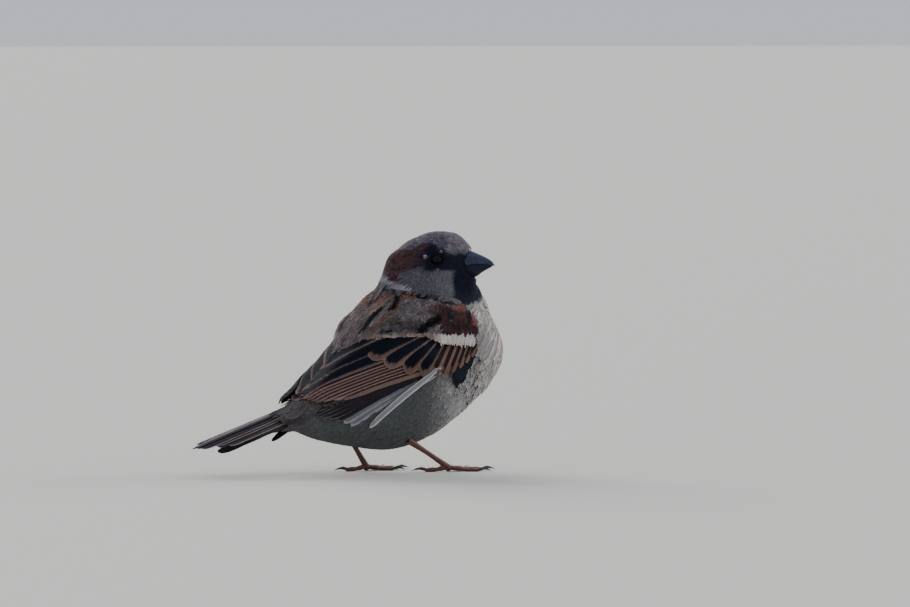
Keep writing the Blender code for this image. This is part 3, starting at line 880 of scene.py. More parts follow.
@dataclass(frozen=True)
class Lie:
    """How the small feathers lie: their direction, size and depth at each place."""

    bill_root: Triple = (20, 0, -0.5)
    body_flow: Triple = (-0.78, 0, -0.62)
    tail_flow: Triple = (-0.948, 0, -0.317)
    eye_clear: float = 2.35

    def shares(self, places: Array) -> tuple[Array, Array, Array]:
        """How much each place belongs to the head, the face and the tail's root."""
        local = FIGURE.to_head(places)
        head = smooth(25.5, 18, np.linalg.norm(local, axis=1))
        eye_gap = self.eye_gap(local)
        face = np.maximum(smooth(3.5, 11.5, local[:, 0]), smooth(6.5, 3.2, eye_gap)) * head
        return head, face, self.on_rump(places)

    @staticmethod
    def on_rump(places: Array) -> Array:
        """How much each place belongs to the tail's root."""
        return smooth(-38, -50, places[:, 0])

    @staticmethod
    def eye_gap(local: Array) -> Array:
        """Distance in mm from the middle of the nearer eye, for places in the head's frame."""
        s, _, z = FIGURE.eye
        return np.linalg.norm(local * [1, 0, 1] - [s, 0, z], axis=1) + 4 * smooth(6, 3, np.abs(local[:, 1]))

    def flow(self, places: Array, normals: Array) -> Array:
        """The direction in which the feathers point."""
        local = FIGURE.to_head(places)
        out = local - np.array(self.bill_root)
        head_flow = unit(out) @ FIGURE.head_axes
        share = smooth(24, 13, np.linalg.norm(local, axis=1))[:, None]
        way = unit(head_flow * share + np.array(self.body_flow) * (1 - share))
        s, _, z = FIGURE.eye
        from_eye = (local - [s, 0, z]) * [1, 0, 1]
        push = smooth(5.2, 2.6, self.eye_gap(local))[:, None]
        way = way + (unit(from_eye) @ FIGURE.head_axes) * push * 1.3
        way = way - normals * (way * normals).sum(axis=1, keepdims=True)
        return unit(way)

    def graded(self, places: Array, body: Array, on_head: float, on_face: float) -> Array:
        """A size that changes from the body to the head, and from there to the face."""
        head, face, _ = self.shares(places)
        return (body * (1 - head) + on_head * head) * (1 - face) + on_face * face

    def depth(self, places: Array) -> Array:
        """Depth of the coat in mm."""
        return self.graded(places, 2.4 - 0.8 * self.on_rump(places), 1.15, 0.5)

    @staticmethod
    def fluff(places: Array) -> Array:
        """How much farther than its depth the plumage stands off: forehead, far cheek and low breast."""
        x, _, z = places.T
        s, left, up = FIGURE.to_head(places).T
        forehead = 0.5 * smooth(5, 9, s) * smooth(3.5, 6, up) * smooth(7, 5, np.abs(left))
        cheek = 0.6 * smooth(0.5, 6.5, left) * smooth(3, 7, s) * smooth(-2, -5, up) * smooth(-22, -16, up)
        breast = 1.7 * smooth(26, 34, z) * smooth(52, 42, z) * smooth(6, 18, x)
        belly = 0.4 * smooth(12, 17, z) * smooth(30, 22, z) * smooth(2, 8, x)
        nape = 0.6 * smooth(-6, -9, s) * smooth(-14, -8, up)
        return nape + forehead + cheek + 0.8 * smooth(64, 50, z) * smooth(14, 20, x) + breast + belly

    def spacing(self, places: Array) -> Array:
        """Distance in mm between one feather's root and the next."""
        return self.graded(places, 1 - 0.05 * self.on_rump(places), 0.66, 0.42)

    def length(self, places: Array) -> Array:
        """Length of a feather in mm."""
        body = 8 + 1.2 * smooth(40, 22, places[:, 2]) + 2.6 * self.on_rump(places)
        return self.graded(places, body, 3.6, 1.6)


class Vanes:
    """Small curved feathers, each a shaft with a web of barbs that ends in a loose fringe.

    They are shaded mostly with the skin's own normals, as light that soaks through down is soft.
    """

    def __init__(self, barbs: int, cup: float = 0.16, own_share: float = 0.35) -> None:
        """Works out the faces of one feather.

        Args:
            barbs: Barbs on each side.
            cup: How far the web curls down towards its edges, as a share of its half width.
            own_share: How much of its shading follows its own surface.
        """
        self.barbs, self.cup, self.own_share = barbs, cup, own_share
        n = barbs
        shaft = np.arange(n + 1)
        inner = {1: n + 1 + shaft, -1: 2 * (n + 1) + shaft}
        tips = {1: 3 * (n + 1) + np.arange(n), -1: 3 * (n + 1) + n + np.arange(n)}
        quads, tris = [], []
        for i in range(n):
            quads += [(shaft[i], shaft[i + 1], inner[1][i + 1], inner[1][i])]
            quads += [(shaft[i], inner[-1][i], inner[-1][i + 1], shaft[i + 1])]
            tris += [(inner[1][i], inner[1][i + 1], tips[1][i])]
            tris += [(inner[-1][i], tips[-1][i], inner[-1][i + 1])]
        self.quads, self.tris = np.array(quads), np.array(tris)
        self.points_each = 3 * (n + 1) + 2 * n

    @staticmethod
    def outline(t: Array) -> Array:
        """Half width of the web along the shaft, as a share of its widest."""
        rise = 0.42 + 0.58 * smooth(0, 0.5, t)
        past = np.clip((t - 0.55) / 0.45, 0, 1)
        return rise * np.sqrt(np.clip(1 - 0.97 * past**2.4, 0, 1))

    def grow(
        self, writer: MeshWriter, spine: Array, normals: Array, width: Array,
        colours: tuple[Array, Array, Array], maps: Array, seed: int,
    ) -> None:
        """Adds the feathers to a mesh.

        Args:
            writer: The mesh.
            spine: Root, middle and tip of each feather.
            normals: Outward normals at root and tip of each.
            width: Widest width of each in mm.
            colours: Core, rim, and rim share and shaft darkness of each.
            maps: Where each root lies on the unwrapped skin.
            seed: Which pattern of loose barbs.
        """
        rng = np.random.default_rng(seed)
        count, n = len(spine), self.barbs
        base, mid, tip = spine[:, 0], spine[:, 1], spine[:, 2]
        control = 2 * mid - (base + tip) / 2
        length = np.linalg.norm(tip - base, axis=1)

        def station(t: Array) -> tuple[Array, Array, Array, Array]:
            """Shaft point, direction, side and outward normal at each share of the length."""
            t = t[..., None]
            point = (1 - t) ** 2 * base[:, None] + 2 * t * (1 - t) * control[:, None] + t**2 * tip[:, None]
            ahead = unit(2 * (1 - t) * (control - base)[:, None] + 2 * t * (tip - control)[:, None])
            out = normals[:, 0][:, None] * (1 - t) + normals[:, 1][:, None] * t
            side = unit(np.cross(out, ahead))
            return point, ahead, side, np.cross(ahead, side)

        def soft(t: Array) -> Array:
            """The skin's own normal under each share of the length."""
            return unit(normals[:, :1] * (1 - t[..., None]) + normals[:, 1:] * t[..., None])

        t = np.tile(np.linspace(0, 1, n + 1), (count, 1))
        half = (self.outline(t) * width[:, None] / 2)[..., None]
        point, ahead, side, out = station(t)
        cup = self.cup * half
        rows, softs = [point + out * 0.05], [out * self.own_share + soft(t) * (1 - self.own_share)]
        across, along, edge = [np.zeros_like(t)], [t], [smooth(0.72, 1, t)]
        for hand in (1, -1):
            reach = 0.7 + 0.05 * rng.normal(size=(count, n + 1, 1))
            rows.append(point + side * hand * half * reach + ahead * half * 0.3 - out * cup * 0.5)
            softs.append(softs[0] + side * hand * 0.14)
            across.append(np.full_like(t, hand * 0.7) * half[..., 0])
            along.append(t + 0.12 * half[..., 0] / length[:, None])
            edge.append(np.maximum(0.7, smooth(0.72, 1, t)))
        t = np.tile((np.arange(n) + 0.55) / n, (count, 1)) + rng.normal(size=(count, n)) * 0.18 / n
        half = (self.outline(t) * width[:, None] / 2)[..., None]
        point, ahead, side, out = station(t)
        for hand in (1, -1):
            reach = 1.0 + 0.16 * rng.normal(size=(count, n, 1))
            slant = 0.62 + 0.22 * rng.normal(size=(count, n, 1))
            lift = (0.04 * rng.normal(size=(count, n, 1)) - self.cup) * half
            rows.append(point + side * hand * half * reach + ahead * half * slant + out * lift)
            softs.append(out * self.own_share + soft(t) * (1 - self.own_share) + side * hand * 0.24)
            across.append(np.full_like(t, hand) * half[..., 0])
            along.append(t + 0.3 * half[..., 0] / length[:, None])
            edge.append(np.ones_like(t))
        points, leaning = np.concatenate(rows, axis=1), unit(np.concatenate(softs, axis=1))
        across, along, edge = (np.concatenate(part, axis=1) for part in (across, along, edge))
        core, rim, kind = colours
        shade = 1 + kind[:, 1:] * 0.4 * rng.normal(size=(count, 1)) + 0.06 * rng.normal(size=(count, 1))
        each = self.points_each
        lay = np.stack(
            [edge, np.repeat(kind[:, :1], each, axis=1), np.repeat(kind[:, 1:], each, axis=1)], axis=-1
        )
        vane = np.stack([across, along * length[:, None] + 60 * rng.random((count, 1))], axis=-1)
        patch = np.stack([across / width[:, None], along - 0.5], axis=-1) * 0.003
        starts = (np.arange(count) * each)[:, None, None]
        writer.add(
            points.reshape(-1, 3),
            {3: (self.tris[None] + starts).reshape(-1, 3), 4: (self.quads[None] + starts).reshape(-1, 4)},
            core=np.repeat(np.clip(core * shade, 0, 1), each, axis=0),
            rim=np.repeat(np.clip(rim * shade, 0, 1), each, axis=0),
            lay=lay.reshape(-1, 3),
            Vane_uv=vane.reshape(-1, 2),
            OFBake_uv=(maps[:, None] + patch).reshape(-1, 2),
            soft_normals=leaning.reshape(-1, 3),
        )


@dataclass
class Skin:
    """The one skin of head, neck, trunk and rump, inside the flesh by the depth of the coat."""

    lie: Lie = field(default_factory=Lie)
    voxel: float = 0.7
    smoothing: int = 6
    join: float = 0.25
    eye_sunk: float = 0.7
    eye_lobe: Triple = (3, 3, 3)
    bill_root: Triple = (10.6, 0, -0.6)
    bill_lobe: Triple = (3.6, 4.6, 5)
    nodes: tuple[str, ...] = ("head", "neck", "trunk", "rump")
    surface: Surface | None = None

    def build(self, markings: Markings) -> None:
        """Makes the skin in place of the flesh's nodes.

        Args:
            markings: The colours of the plumage, which the skin shares.
        """
        parts = []
        for name in self.nodes:
            mesh = frame["nodes"][name].data
            points = np.array([v.co for v in mesh.vertices]) / MM - SHIFT
            normals = np.array([v.normal for v in mesh.vertices])
            parts.append((points + normals * self.join, [list(f.vertices) for f in mesh.polygons]))
        s, side, z = FIGURE.eye
        lobes = [((s, hand * (side - self.eye_sunk), z), self.eye_lobe) for hand in (1, -1)]
        for middle, halves in (*lobes, (self.bill_root, self.bill_lobe)):
            parts.append(egg(tuple(FIGURE.from_head([middle])[0]), halves, FIGURE.head_axes))
        raw = remeshed(parts, self.voxel, self.smoothing)
        depth = self.lie.depth(raw.points)[:, None] + self.join
        points = raw.points - raw.normals * depth
        self.surface = Surface(points, raw.faces, raw.normals)
        writer = MeshWriter()
        core, _, _ = markings.at(points)
        writer.add(points, {4: raw.faces}, core=core)
        writer.write("skin", DownySkin().make(), "pale_feather", *self.nodes)


class Region(Enum):
    """The parts of the coat that are kept as separate pieces, with their slots."""

    FACE = ("face_feathers", "grey_feather")
    CROWN = ("head_feathers", "grey_feather")
    NECK = ("neck_feathers", "pale_feather")
    BREAST = ("breast_feathers", "pale_feather")
    BACK = ("back_feathers", "streaked_feather")
    BELLY = ("belly_feathers", "pale_feather")
    RUMP = ("rump_feathers", "rump_feather")


@dataclass
class Coat:
    """The small feathers over the whole skin, but for where the wings cover it."""

    lie: Lie = field(default_factory=Lie)
    barbs: int = 9
    width_share: float = 0.31
    cup: float = 0.34
    own_share: float = 0.2
    swing: float = 0.08
    wing_front_reach: float = 2.6
    hidden_below: float = 3.0
    breast_from: float = 8.0
    last_root: float = -48.0
    leaves_rump: Pair = (-44, -51)
    bill_side: Pair = (-5.4, 4.6)

    def build(self, skin: Skin, markings: Markings, wings: list["WingSheet"]) -> None:
        """Grows the coat, one piece for each region.

        Args:
            skin: The skin it grows on.
            markings: Its colours.
            wings: The folded wings, which cover part of it.
        """
        surface, lie = skin.surface, self.lie
        roots, normals = surface.scatter(lie.spacing, SEED)
        count = len(roots)
        rng = np.random.default_rng(SEED + 1)
        flow = lie.flow(roots, normals)
        swing = rng.normal(size=(count, 1)) * self.swing
        flow = unit(flow + np.cross(normals, flow) * swing)
        length = lie.length(roots) * (1 + 0.10 * rng.normal(size=count))
        gap = lie.eye_gap(FIGURE.to_head(roots))
        length = np.where(gap < 5, np.minimum(length, 0.75 + 0.25 * (gap - 2.4)), length)
        mid, mid_normal = surface.near(roots + flow * (length * 0.5)[:, None])
        tip, tip_normal = surface.near(roots + flow * length[:, None])
        free = smooth(*self.leaves_rump, roots[:, 0])[:, None]
        onward = np.array(lie.tail_flow) * length[:, None]
        mid = mid * (1 - free) + (roots + onward * 0.5) * free
        tip = tip * (1 - free) + (roots + onward) * free
        mid_normal, tip_normal = (unit(n * (1 - free) + normals * free) for n in (mid_normal, tip_normal))
        rise = lie.depth(tip) * (0.94 + 0.025 * rng.normal(size=count))
        fluff = lie.fluff(tip) * (0.94 + 0.06 * rng.random(count))
        over, tip_over = (self.wing_over(wings, *spots) for spots in ((roots, normals), (tip, tip_normal)))
        on_breast = roots[:, 0] > self.breast_from
        in_front = (tip_over > 0) & (tip_over < self.wing_front_reach) & on_breast
        keep = self.bears_feathers(roots) & ((over == 0) | (over > self.hidden_below))
        keep &= (tip_over == 0) | (tip_over > self.hidden_below) | in_front | ~on_breast
        lift = np.where(in_front, tip_over + 0.2, 0)
        spine = np.stack(
            [
                roots + normals * (0.96 * fluff + 0.68 * rise - 0.12)[:, None],
                mid + mid_normal * (rise * 0.87 + 0.98 * fluff + lift * 0.5)[:, None],
                tip + tip_normal * (np.where(lift > 0, 0.5, rise + fluff) + lift)[:, None],
            ],
            axis=1,
        )
        ends = np.stack([normals, unit(tip_normal)], axis=1)
        share = self.width_share + 0.1 * lie.shares(roots)[0]
        width = length * share * (1 + 0.08 * rng.normal(size=count))
        colours = markings.at(tip * 0.65 + mid * 0.35)
        maps, region = self.unwrap(roots), self.regions(roots)
        vanes = Vanes(self.barbs, self.cup, self.own_share)
        for index, (name, slot) in enumerate(kind.value for kind in Region):
            own = keep & (region == index)
            writer = MeshWriter()
            shown = tuple(rows[own] for rows in colours)
            vanes.grow(writer, spine[own], ends[own], width[own], shown, maps[own], SEED + 10 + index)
            writer.write(name, feather_finish(), slot)

    def bears_feathers(self, roots: Array) -> Array:
        """Which roots are clear of the eyes, of the bill and of the tail's own feathers."""
        local = FIGURE.to_head(roots)
        low, high = self.bill_side
        bill_base = 13.4 - 2.6 * np.exp(-(((local[:, 2] + 1.2) / 2.2) ** 2))
        on_bill = (local[:, 0] > bill_base) & (local[:, 2] < high) & (local[:, 2] > low)
        return (self.lie.eye_gap(local) > self.lie.eye_clear) & ~on_bill & (roots[:, 0] > self.last_root)

    @staticmethod
    def wing_over(wings: list["WingSheet"], places: Array, normals: Array) -> Array:
        """How far above each place a folded wing reaches, or 0 where none covers it."""
        rows = zip(places, normals)
        return np.array([max(wing.over(place, normal) for wing in wings) for place, normal in rows])

    def regions(self, roots: Array) -> Array:
        """The index of the region each root belongs to."""
        head, face, tail = self.lie.shares(roots)
        order = list(Region)
        region = np.full(len(roots), order.index(Region.BELLY))
        region[(roots[:, 0] > 12) | (roots[:, 2] > 50)] = order.index(Region.BREAST)
        region[roots[:, 2] > back_line(roots[:, 0])] = order.index(Region.BACK)
        region[tail > 0.2] = order.index(Region.RUMP)
        region[roots[:, 2] > 62] = order.index(Region.NECK)
        region[head > 0.5] = order.index(Region.CROWN)
        region[face > 0.5] = order.index(Region.FACE)
        return region

    @staticmethod
    def unwrap(roots: Array) -> Array:
        """Where each root lies on the unwrapped skin: round the spine, and along it."""
        spine_x = np.array([-58, -40, -26, -8, 6, 9.2, 9.2])
        spine_z = np.array([22, 25, 32, 42, 58, 70, 90])
        t = np.linspace(0, 1, 7)
        fine = np.linspace(0, 1, 200)
        line = np.stack([np.interp(fine, t, spine_x), np.zeros(200), np.interp(fine, t, spine_z)], axis=1)
        gap = np.linalg.norm(roots[:, None] - line[None], axis=2)
        nearest = gap.argmin(axis=1)
        ahead = unit(np.gradient(line, axis=0))[nearest]
        up = unit(np.cross(ahead, [0, 1, 0]))
        out = roots - line[nearest]
        turn = np.arctan2((out * up).sum(axis=1), out[:, 1])
        along = fine[nearest] + 0.02 * (out * ahead).sum(axis=1) / 10
        round_spine = 0.02 + 0.96 * (turn / (2 * math.pi) + 0.5)
        return np.stack([round_spine, np.clip(0.02 + 0.96 * along, 0.01, 0.99)], axis=1)


# ---- wings


class WingSheet:
    """The outer surface of one folded wing, laid out as x and the distance up the wing, in mm."""

    lean = math.radians(35)
    deepest = 12.0
    low_edge = (
        (-48, 14), (-43, 9.5), (-33, 8), (-16, 13), (0, 15.5), (7.5, 16.5), (15.5, 19.5), (19, 25),
        (20.5, 31),
    )
    ridge = (
        (-62, 25), (-50, 26), (-46, 26.5), (-40, 31.5), (-34, 36.7), (-28, 43.5), (-20, 50.5), (-14, 57),
    )
    top_edge = (
        *ridge, (-12.5, 57), (-11.5, 53), (-9, 48.6), (-4.5, 45.4), (2, 41.8), (8, 40.8), (12, 41),
        (16.5, 38.8), (18, 35), (18.6, 30),
    )
    shoulder_edge = (
        (-50, 42), (-36, 38), (-33, 36.4), (-31, 35.6), (-28.6, 35.6), (-26.6, 35), (-24, 32.6),
        (-19.5, 31.1), (-14, 30.4), (-8, 30.1), (-3.5, 29.9), (2, 31), (5, 33), (8, 38), (10, 42),
    )
    low = np.array([-62, -4])
    step = 1.0
    cells = (98, 66)

    def __init__(self, side: int) -> None:
        """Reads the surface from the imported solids.

        Args:
            side: 1 for the left wing, -1 for the right.
        """
        self.side = side
        self.hand = "left" if side > 0 else "right"
        self.out = np.array([0, side * math.cos(self.lean), math.sin(self.lean)])
        self.up = np.array([0, -side * math.sin(self.lean), math.cos(self.lean)])
        nodes = frame["nodes"]
        names = [f"{kind}_{self.hand}" for kind in ("primaries", "inner_flight", "coverts", "scapulars")]
        self.plates = tree_of([nodes[name] for name in names])
        whole = tree_of([nodes[name] for name in names + ["trunk", "rump", "neck"]])
        self.heights = self.survey(whole)

    def survey(self, whole: BVHTree) -> Array:
        """The height of the surface on a grid, smoothed, with its gaps filled from their edges."""
        heights = np.full(self.cells, np.nan)
        far = 80.0
        for i, j in np.ndindex(self.cells):
            x, q = self.low + np.array([i, j]) * self.step
            start = np.array([x, 0, 0]) + self.up * q + self.out * far
            hit, _, _, gap = whole.ray_cast(start.tolist(), (-self.out).tolist())
            if hit is not None and (hit - Vector(start)).length < far:
                heights[i, j] = far - gap
        known = ~np.isnan(heights)
        filled = np.where(known, heights, np.nanmean(heights))
        for _ in range(400):
            filled = np.where(known, filled, self.averaged(filled))
        for _ in range(6):
            filled = self.averaged(filled)
        return filled

    @staticmethod
    def averaged(grid: Array) -> Array:
        """Each cell as the mean of itself and its four neighbours."""
        wide = np.pad(grid, 1, mode="edge")
        return (wide[1:-1, 1:-1] + wide[:-2, 1:-1] + wide[2:, 1:-1] + wide[1:-1, :-2] + wide[1:-1, 2:]) / 5

    def place(self, spots: Array, height: Array) -> Array:
        """Points of the trunk's frame at spots on the wing, height above its surface."""
        ridge = on_line((*self.ridge, (-13, 70)), spots[..., 0])
        beyond = np.maximum(spots[..., 1] - ridge, 0)[..., None]
        spots = np.stack([spots[..., 0], np.minimum(spots[..., 1], ridge)], axis=-1)
        at = np.clip((spots - self.low) / self.step, 0, np.array(self.heights.shape) - 1.001)
        cell = at.astype(int)
        (i, j), (u, v), h = np.moveaxis(cell, -1, 0), np.moveaxis(at - cell, -1, 0), self.heights
        ground = (h[i, j] * (1 - u) + h[i + 1, j] * u) * (1 - v)
        ground += (h[i, j + 1] * (1 - u) + h[i + 1, j + 1] * u) * v
        along = np.stack([spots[..., 0], np.zeros_like(ground), np.zeros_like(ground)], axis=-1)
        level = along + spots[..., 1:] * self.up + (ground + height)[..., None] * self.out
        return level + beyond * np.array([0, -0.8 * self.side, -0.6])

    def normal(self, spots: Array) -> Array:
        """The outward normal of the surface at spots on the wing."""
        level = np.zeros(spots.shape[:-1])
        ahead = self.place(spots + [1.5, 0], level) - self.place(spots - [1.5, 0], level)
        up = self.place(spots + [0, 1.5], level) - self.place(spots - [0, 1.5], level)
        return unit(np.cross(ahead, up)) * -self.side

    def over(self, place: Array, normal: Array) -> float:
        """How far above a place of the body the wing's solids end, or 0 where there are none."""
        edges = (self.low_edge, self.top_edge, self.shoulder_edge)
        low, top, soft = (on_line(edge, place[0]) for edge in edges)
        q = place @ self.up
        if place[1] * self.side < -0.6 or normal @ self.out < -0.1 or not low + 0.8 < q < top - 0.6:
            return 0.0
        start = place + self.out * self.deepest
        hit = self.plates.ray_cast(start.tolist(), (-self.out).tolist(), self.deepest + 0.5)
        if hit[0] is None:
            return 0.01 if q > soft + 0.8 else 0.0
        return max(self.deepest - hit[3], 0.01)


@dataclass(frozen=True)
class Look:
    """The colouring of one kind of large feather."""

    core: str
    rim: str
    share: float = 0.2
    shaft: float = 0.5
    jitter: float = 0.08
    inner: float = 0.4
    fringe: float = 1.3
    tip: str = ""
    dark_from: float = 0.6


class Blades:
    """Large feathers: thin closed blades with a raised shaft, a cupped web and a rounded tip."""

    thick = 0.16
    ragged = 0.035
    stations = np.array([-1, -0.8, -0.55, -0.28, -0.07, 0, 0.07, 0.28, 0.55, 0.8, 1])

    def __init__(self, sheet: WingSheet | Plane, rows: int) -> None:
        """Works out the faces of one blade.

        Args:
            sheet: What the blades are laid on.
            rows: Stations along the shaft.
        """
        self.sheet, self.rows = sheet, rows
        n, m = rows + 1, len(self.stations)
        top = np.arange(n * m).reshape(n, m)
        low = top.copy()
        inside = np.arange((n - 2) * (m - 2)).reshape(n - 2, m - 2) + n * m
        low[1:-1, 1:-1] = inside
        quads = []
        for grid, flip in ((top, False), (low, True)):
            a, b, c, d = grid[:-1, :-1], grid[:-1, 1:], grid[1:, 1:], grid[1:, :-1]
            corners = [a, d, c, b] if flip else [a, b, c, d]
            quads.append(np.stack(corners, axis=-1).reshape(-1, 4))
        self.quads = np.concatenate(quads)
        self.patches: list[dict] = []

    @staticmethod
    def outline(t: Array, blunt: float) -> Array:
        """Half width along the shaft, as a share of the widest; blunt is where the tip's curve starts."""
        rise = 0.55 + 0.45 * smooth(0, 0.4, t)
        past = np.clip((t - blunt) / (1 - blunt), 0, 1)
        return rise * np.sqrt(np.clip(1 - past**2.2, 0, 1))

    def lay(
        self, root: Pair, tip: Pair, width: float, look: Look, height: Pair, seed: int, blunt: float = 0.72,
        bend: float = 0, roll: float = -0.2, leading: float = 0.8,
    ) -> None:
        """Adds one blade.

        Args:
            root: Its root on the sheet.
            tip: Its tip.
            width: Its widest width in mm.
            look: Its colouring.
            height: Heights over the sheet at root and tip.
            seed: Which pattern of nicks.
            blunt: Where along it the rounding of the tip starts.
            bend: How far its middle bows upwards, as a share of its length.
            roll: How much higher its upper edge lies than its lower, in mm.
            leading: Width of the lower web as a share of the upper.
        """
        rng = np.random.default_rng(seed)
        t = 1 - np.linspace(1, 0, self.rows + 1) ** 1.4
        a, b = np.array(root, dtype=float), np.array(tip, dtype=float)
        run = b - a
        length = float(np.linalg.norm(run))
        ahead = run / length
        across = np.array([-ahead[1], ahead[0]])
        across = across if across[1] > 0 or (abs(across[1]) < 1e-6) else -across
        line = a + np.outer(t, run) + np.outer(4 * t * (1 - t) * bend * length, across)
        half = self.outline(t, blunt) * width / 2
        grid = np.empty((len(t), len(self.stations), 2))
        heights = np.empty((len(t), len(self.stations)))
        base = height[0] + (height[1] - height[0]) * t
        for j, v in enumerate(self.stations):
            nicks = 1 + self.ragged * rng.normal(size=len(t)) * abs(v) ** 3
            web = half * (1.0 if v > 0 else leading) * nicks
            grid[:, j] = line + np.outer(web * v, across) + np.outer(0.45 * half * abs(v) * (1 - t), ahead)
            ridge = 0.10 * math.exp(-((v / 0.12) ** 2)) * (1 - 0.6 * t)
            heights[:, j] = base + ridge + roll * v * 0.5 - 0.10 * half * v * v
        top = self.sheet.place(grid, heights)
        low = self.sheet.place(grid, heights - self.thick * (1 - np.abs(self.stations)) - 0.05)[1:-1, 1:-1]
        points = np.concatenate([top.reshape(-1, 3), low.reshape(-1, 3)])
        edge = np.maximum(np.abs(self.stations)[None], smooth(1 - 0.6 * width / length, 1, t)[:, None])
        edge[-1], edge[:, 0], edge[:, -1] = look.fringe, look.fringe, look.fringe
        level = np.zeros_like(heights)
        local = np.stack([np.outer(half, self.stations), (t * length)[:, None] + level], axis=-1)
        share = np.stack([(self.stations + 1) / 2 + level, t[:, None] + level], axis=-1)
        above = self.sheet.place(grid[2, 5], heights[2, 5] + 1) - top[2, 5]
        outward = float(np.cross(top[2, 6] - top[2, 5], top[3, 5] - top[2, 5]) @ above) > 0
        web_share = np.where(self.stations < 0, look.share, look.share * look.inner) + level
        deep = (smooth(look.dark_from, look.dark_from + 0.2, t)[:, None] + level)[..., None]
        core, rim = (
            (srgb(near) * (1 - deep) + srgb(look.tip or near) * deep) * (1 + look.jitter * rng.normal())
            for near in (look.core, look.rim)
        )

        def both(rows: Array) -> Array:
            """Values of the upper face, then those of the inside of the lower face."""
            width_of = rows.shape[2:]
            return np.concatenate([rows.reshape(-1, *width_of), rows[1:-1, 1:-1].reshape(-1, *width_of)])

        faces = {4: self.quads if outward else self.quads[:, ::-1]}
        lay = np.stack([both(edge), both(web_share), np.full(len(points), look.shaft)], axis=1)
        colours = {"core": both(core), "rim": both(rim), "lay": lay}
        maps = {"Vane_uv": both(local), "OFBake_uv": both(share)}
        self.patches.append({"points": points, "faces": faces, **colours, **maps})

    def write(self, name: str, replaced: str, slot: str) -> None:
        """Makes all the blades one piece.

        Args:
            name: The piece's name.
            replaced: The node it replaces.
            slot: A slot name, passed on to the mesh writer, which does not use it.
        """
        writer = MeshWriter()
        side = math.ceil(math.sqrt(len(self.patches)))
        for index, patch in enumerate(self.patches):
            cell = np.array([index % side, index // side])
            patch["Vane_uv"] = patch["Vane_uv"] + [0, 11.0 * index]
            patch["OFBake_uv"] = (cell + 0.06 + 0.88 * patch["OFBake_uv"]) / side
            writer.add(**patch)
        writer.write(name, feather_finish(), slot, replaced)


def fan(count: int, *lines: tuple) -> list[tuple]:
    """Reads count equally spaced rows off smooth lines, one tuple of rows for each place."""
    t = np.linspace(0, 1, count)
    return list(zip(*(spline(np.array(line, dtype=float), t).tolist() for line in lines)))


@dataclass(frozen=True)
class Stroke:
    """One patch of colour across the plumage: a line on a sheet, with a width and a colour."""

    line: tuple[Pair, ...]
    radius: float
    colour: str
    strength: float = 1.0

    def weight(self, spots: Array) -> Array:
        """How strongly it lies at each spot."""
        gap = np.full(len(spots), 1e6)
        corners = np.array(self.line)
        for start, end in zip(corners[:-1], corners[1:]):
            run = end - start
            t = np.clip((spots - start) @ run / (run @ run), 0, 1)
            gap = np.minimum(gap, np.linalg.norm(spots - start - t[:, None] * run, axis=1))
        return smooth(self.radius + 0.5, self.radius - 0.4, gap) * self.strength


def painted(spots: Array, base: Array, strokes: tuple[Stroke, ...]) -> Array:
    """The colour at each spot once the strokes are laid over the base."""
    colours = base.copy()
    for stroke in strokes:
        weight = stroke.weight(spots)[:, None]
        colours = colours * (1 - weight) + srgb(stroke.colour) * weight
    return colours


def scattered(low: tuple, high: tuple, spacing: float, rng: np.random.Generator) -> Array:
    """Places on a shaken triangular grid that fills a rectangle."""
    across = np.arange(low[0], high[0], spacing)
    rows = np.arange(low[1], high[1], spacing * 0.87)
    spots = np.array([(x + spacing / 2 * (j % 2), y) for j, y in enumerate(rows) for x in across])
    return spots + rng.uniform(-0.3, 0.3, size=spots.shape) * spacing


def lay_loose(
    writer: MeshWriter, sheet: WingSheet | Plane, roots: Array, tips: Array, width: float, height: Pair,
    colours: tuple[Array, Array, Pair], seed: int,
) -> None:
    """Adds soft, loose-edged feathers laid on a sheet.

    Args:
        writer: The mesh.
        sheet: What they lie on, with place and normal methods.
        roots: Where they grow, on the sheet.
        tips: Where they end.
        width: Their width in mm.
        height: How far above the sheet their roots and tips lie.
        colours: Core and rim of each, and the rim share and shaft darkness of all.
        seed: Which pattern of loose barbs.
    """
    rng = np.random.default_rng(seed)
    rise = height[1] + 0.1 * rng.normal(size=len(tips))
    level = np.full(len(tips), height[0])
    middle = (roots + tips) / 2
    spine = [
        sheet.place(roots, level),
        sheet.place(middle, (level + rise) / 2 + 0.15),
        sheet.place(tips, rise),
    ]
    normals = np.stack([sheet.normal(roots), sheet.normal(tips)], axis=1)
    widths = width * (1 + 0.1 * rng.normal(size=len(tips)))
    kind = np.tile(colours[2], (len(tips), 1))
    maps = (roots + [62, 8]) / [110, 80]
    shown = (colours[0], colours[1], kind)
    Vanes(15).grow(writer, np.stack(spine, axis=1), normals, widths, shown, maps, seed)


